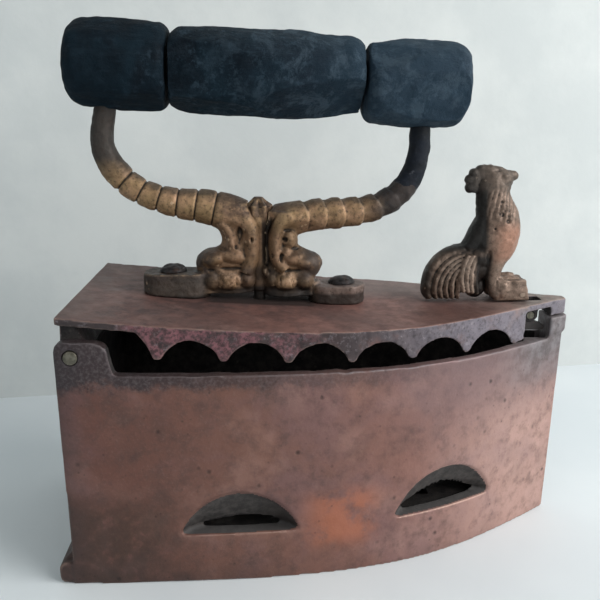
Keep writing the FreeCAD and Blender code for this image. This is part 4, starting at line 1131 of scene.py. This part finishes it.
def build_rooster():
    low, high = box_mm("rooster")
    base = low[2]
    pieces = rooster_body(base, high[0]) + saddle_feathers()
    pieces += [tail_feather(i, *feather) for i, feather in enumerate(TAIL_SPREAD)]
    bird = remesh(joined("rooster_casting", pieces), 0.34, 5)

    def feathers(points, normals):
        x, y, z = points.T
        side = smooth_step(np.abs(normals[:, 1]), 0.15, 0.6)
        neck = smooth_step(z, 130, 134) * (1 - smooth_step(z, 142.5, 145.5)) * smooth_step(x, 162.5, 164.5)
        hackle = -0.3 * (0.5 + 0.5 * np.cos((x - 0.25 * (z - 135)) * 2 * math.pi / 2.1)) * neck * side
        fall = 163.8 + 0.05 * (z - 130)
        nape = smooth_step(z, 122, 128) * (1 - smooth_step(z, 141, 145))
        collar = -0.4 * (1 - smooth_step(x - fall, -1.2, 0.8)) * nape * side
        marks = dents(points, normals, BREAST_MARKS)
        lumps = noise(points, 3.0, 26) * 0.16 + noise(points, 1.3, 29) * 0.12
        rough = noise(points, 2.6, 31) * 0.4 * smooth_step(x, 170, 172) * (1 - smooth_step(z, 108, 110))
        return (hackle + collar + marks + lumps + rough) * smooth_step(z, base, base + 1.0)

    sculpt(bird, feathers)
    cut_flat(bird, [((0, 0, base + PERCH_INSET), (0, 0, -1)), ((high[0], 0, 0), (1, 0, 0))])
    finish_piece(bird, "rooster_latch", "cast_brass_rooster", ["rooster"], FINISH["cast_brass_rooster"])


# ---------------------------------------------------------------- CAD nodes that stay
def paint_cad_nodes():
    slots = {"hinge_pin": "pin_brass", "latch_pivot_pin": "pin_brass", "tongue_rivet": "cast_brass_rooster",
             "fire_grate": "grate_iron"}
    for name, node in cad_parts.items():
        if node.hide_render:
            continue
        finish = FINISH[slots.get(name, "dark_iron")]
        if not node.data.materials:
            node.data.materials.append(finish)
        for i in range(len(node.data.materials)):
            node.data.materials[i] = finish


# ---------------------------------------------------------------- floor, light, camera
STAGE_REACH = 3.0
WALL_HEIGHT = 2.0


def build_floor():
    reach = STAGE_REACH
    mesh = bpy.data.meshes.new("floor")
    corners = [(-reach, -reach, 0), (reach, -reach, 0), (reach, reach, 0), (-reach, reach, 0)]
    mesh.from_pydata(corners, [], [(0, 1, 2, 3)])
    floor = new_piece("floor", mesh)
    p = Paint("pale_floor")
    clouds = p.noise(90, 3, 0.5, 0.5)
    p.ground(p.step(clouds, 0.3, 0.7), (214, 221, 225), (222, 228, 231))
    p.bump((p.noise(6, 3, 0.5, 1.5), 0.05))
    mesh.materials.append(p.done(p.step(clouds, 0.3, 0.7, 0.55, 0.65), 0.0, 0.3))


def build_wall():
    """Pale wall behind the table, seen from its front only, so that views from behind stay open."""
    away = 0.148
    askew = 0.097
    reach = STAGE_REACH
    mesh = bpy.data.meshes.new("wall")
    left = away - askew * reach
    right = away + askew * reach
    corners = [(-reach, left, 0), (reach, right, 0), (reach, right, WALL_HEIGHT), (-reach, left, WALL_HEIGHT)]
    mesh.from_pydata(corners, [], [(0, 1, 2, 3)])
    wall = new_piece("wall", mesh)
    p = Paint("pale_wall")
    clouds = p.noise(60, 5, 0.6, 0.9)
    p.ground(p.step(clouds, 0.35, 0.65), (200, 205, 205), (211, 215, 214))
    p.bump((p.noise(8, 5, 0.6, 1.5), 0.15))
    p.done(p.step(clouds, 0.3, 0.7, 0.8, 0.9), 0.0, 0.2)
    clear = p.node("ShaderNodeBsdfTransparent")
    choice = p.node("ShaderNodeMixShader")
    side = p.node("ShaderNodeNewGeometry")
    output = p.tree.nodes["Material Output"]
    p.link(side.outputs["Backfacing"], choice.inputs[0])
    p.link(p.shader.outputs[0], choice.inputs[1])
    p.link(clear.outputs[0], choice.inputs[2])
    p.link(choice.outputs[0], output.inputs["Surface"])
    mesh.materials.append(p.material)


def build_world():
    """Soft room light: brightest from the nose side and above, least from the heel side."""
    towards_light = (0.22, 0.12, 0.10)
    even_level = 0.43
    world = bpy.data.worlds.new("room")
    bpy.context.scene.world = world
    world.use_nodes = True
    tree = world.node_tree
    background = tree.nodes["Background"]
    direction = tree.nodes.new("ShaderNodeTexCoord")
    dot = tree.nodes.new("ShaderNodeVectorMath")
    dot.operation = "DOT_PRODUCT"
    dot.inputs[1].default_value = towards_light
    tree.links.new(direction.outputs["Generated"], dot.inputs[0])
    level = tree.nodes.new("ShaderNodeMath")
    level.operation = "ADD"
    level.inputs[1].default_value = even_level
    tree.links.new(dot.outputs["Value"], level.inputs[0])
    tree.links.new(level.outputs[0], background.inputs["Strength"])
    background.inputs["Color"].default_value = srgb(248, 255, 255)


def area_light(name, place, target, size, watts, colour):
    data = bpy.data.lights.new(name, "AREA")
    data.shape = "DISK"
    data.size = size
    data.energy = watts
    data.color = colour
    lamp = bpy.data.objects.new(name, data)
    bpy.context.scene.collection.objects.link(lamp)
    lamp.location = place
    lamp.rotation_euler = (Vector(target) - Vector(place)).to_track_quat("-Z", "Y").to_euler()


def build_lights():
    middle = (0.10, 0, 0.08)
    size = 0.8
    area_light("key", (0.90, -0.42, 0.58), middle, size, 11.0, (1.0, 0.98, 0.96))
    area_light("fill", (-0.5, -0.9, 0.5), middle, size, 1.5, (0.94, 0.97, 1.0))


def build_camera():
    data = bpy.data.cameras.new("camera")
    data.lens = 42.66
    data.sensor_width = 36.0
    data.clip_start = 0.01
    camera = bpy.data.objects.new("camera", data)
    bpy.context.scene.collection.objects.link(camera)
    yaw = 0.057
    pitch = 0.264
    camera.location = (0.0724, -0.2841, 0.1753)
    forward = Vector((math.sin(yaw) * math.cos(pitch), math.cos(yaw) * math.cos(pitch), -math.sin(pitch)))
    camera.rotation_euler = forward.to_track_quat("-Z", "Y").to_euler()
    bpy.context.scene.camera = camera


build_body()
build_lid()
build_rear_arm()
build_front_arm()
build_finial()
build_foot_bolts()
build_grip("rear_grip_block", "rear_grip", 11, 14)
build_grip("centre_grip", "middle_grip", 23, 18)
build_grip("front_grip_block", "front_grip", 37, 14)
build_rooster()
paint_cad_nodes()
build_floor()
build_wall()
build_world()
build_lights()
build_camera()
bpy.context.scene.view_settings.view_transform = "Standard"
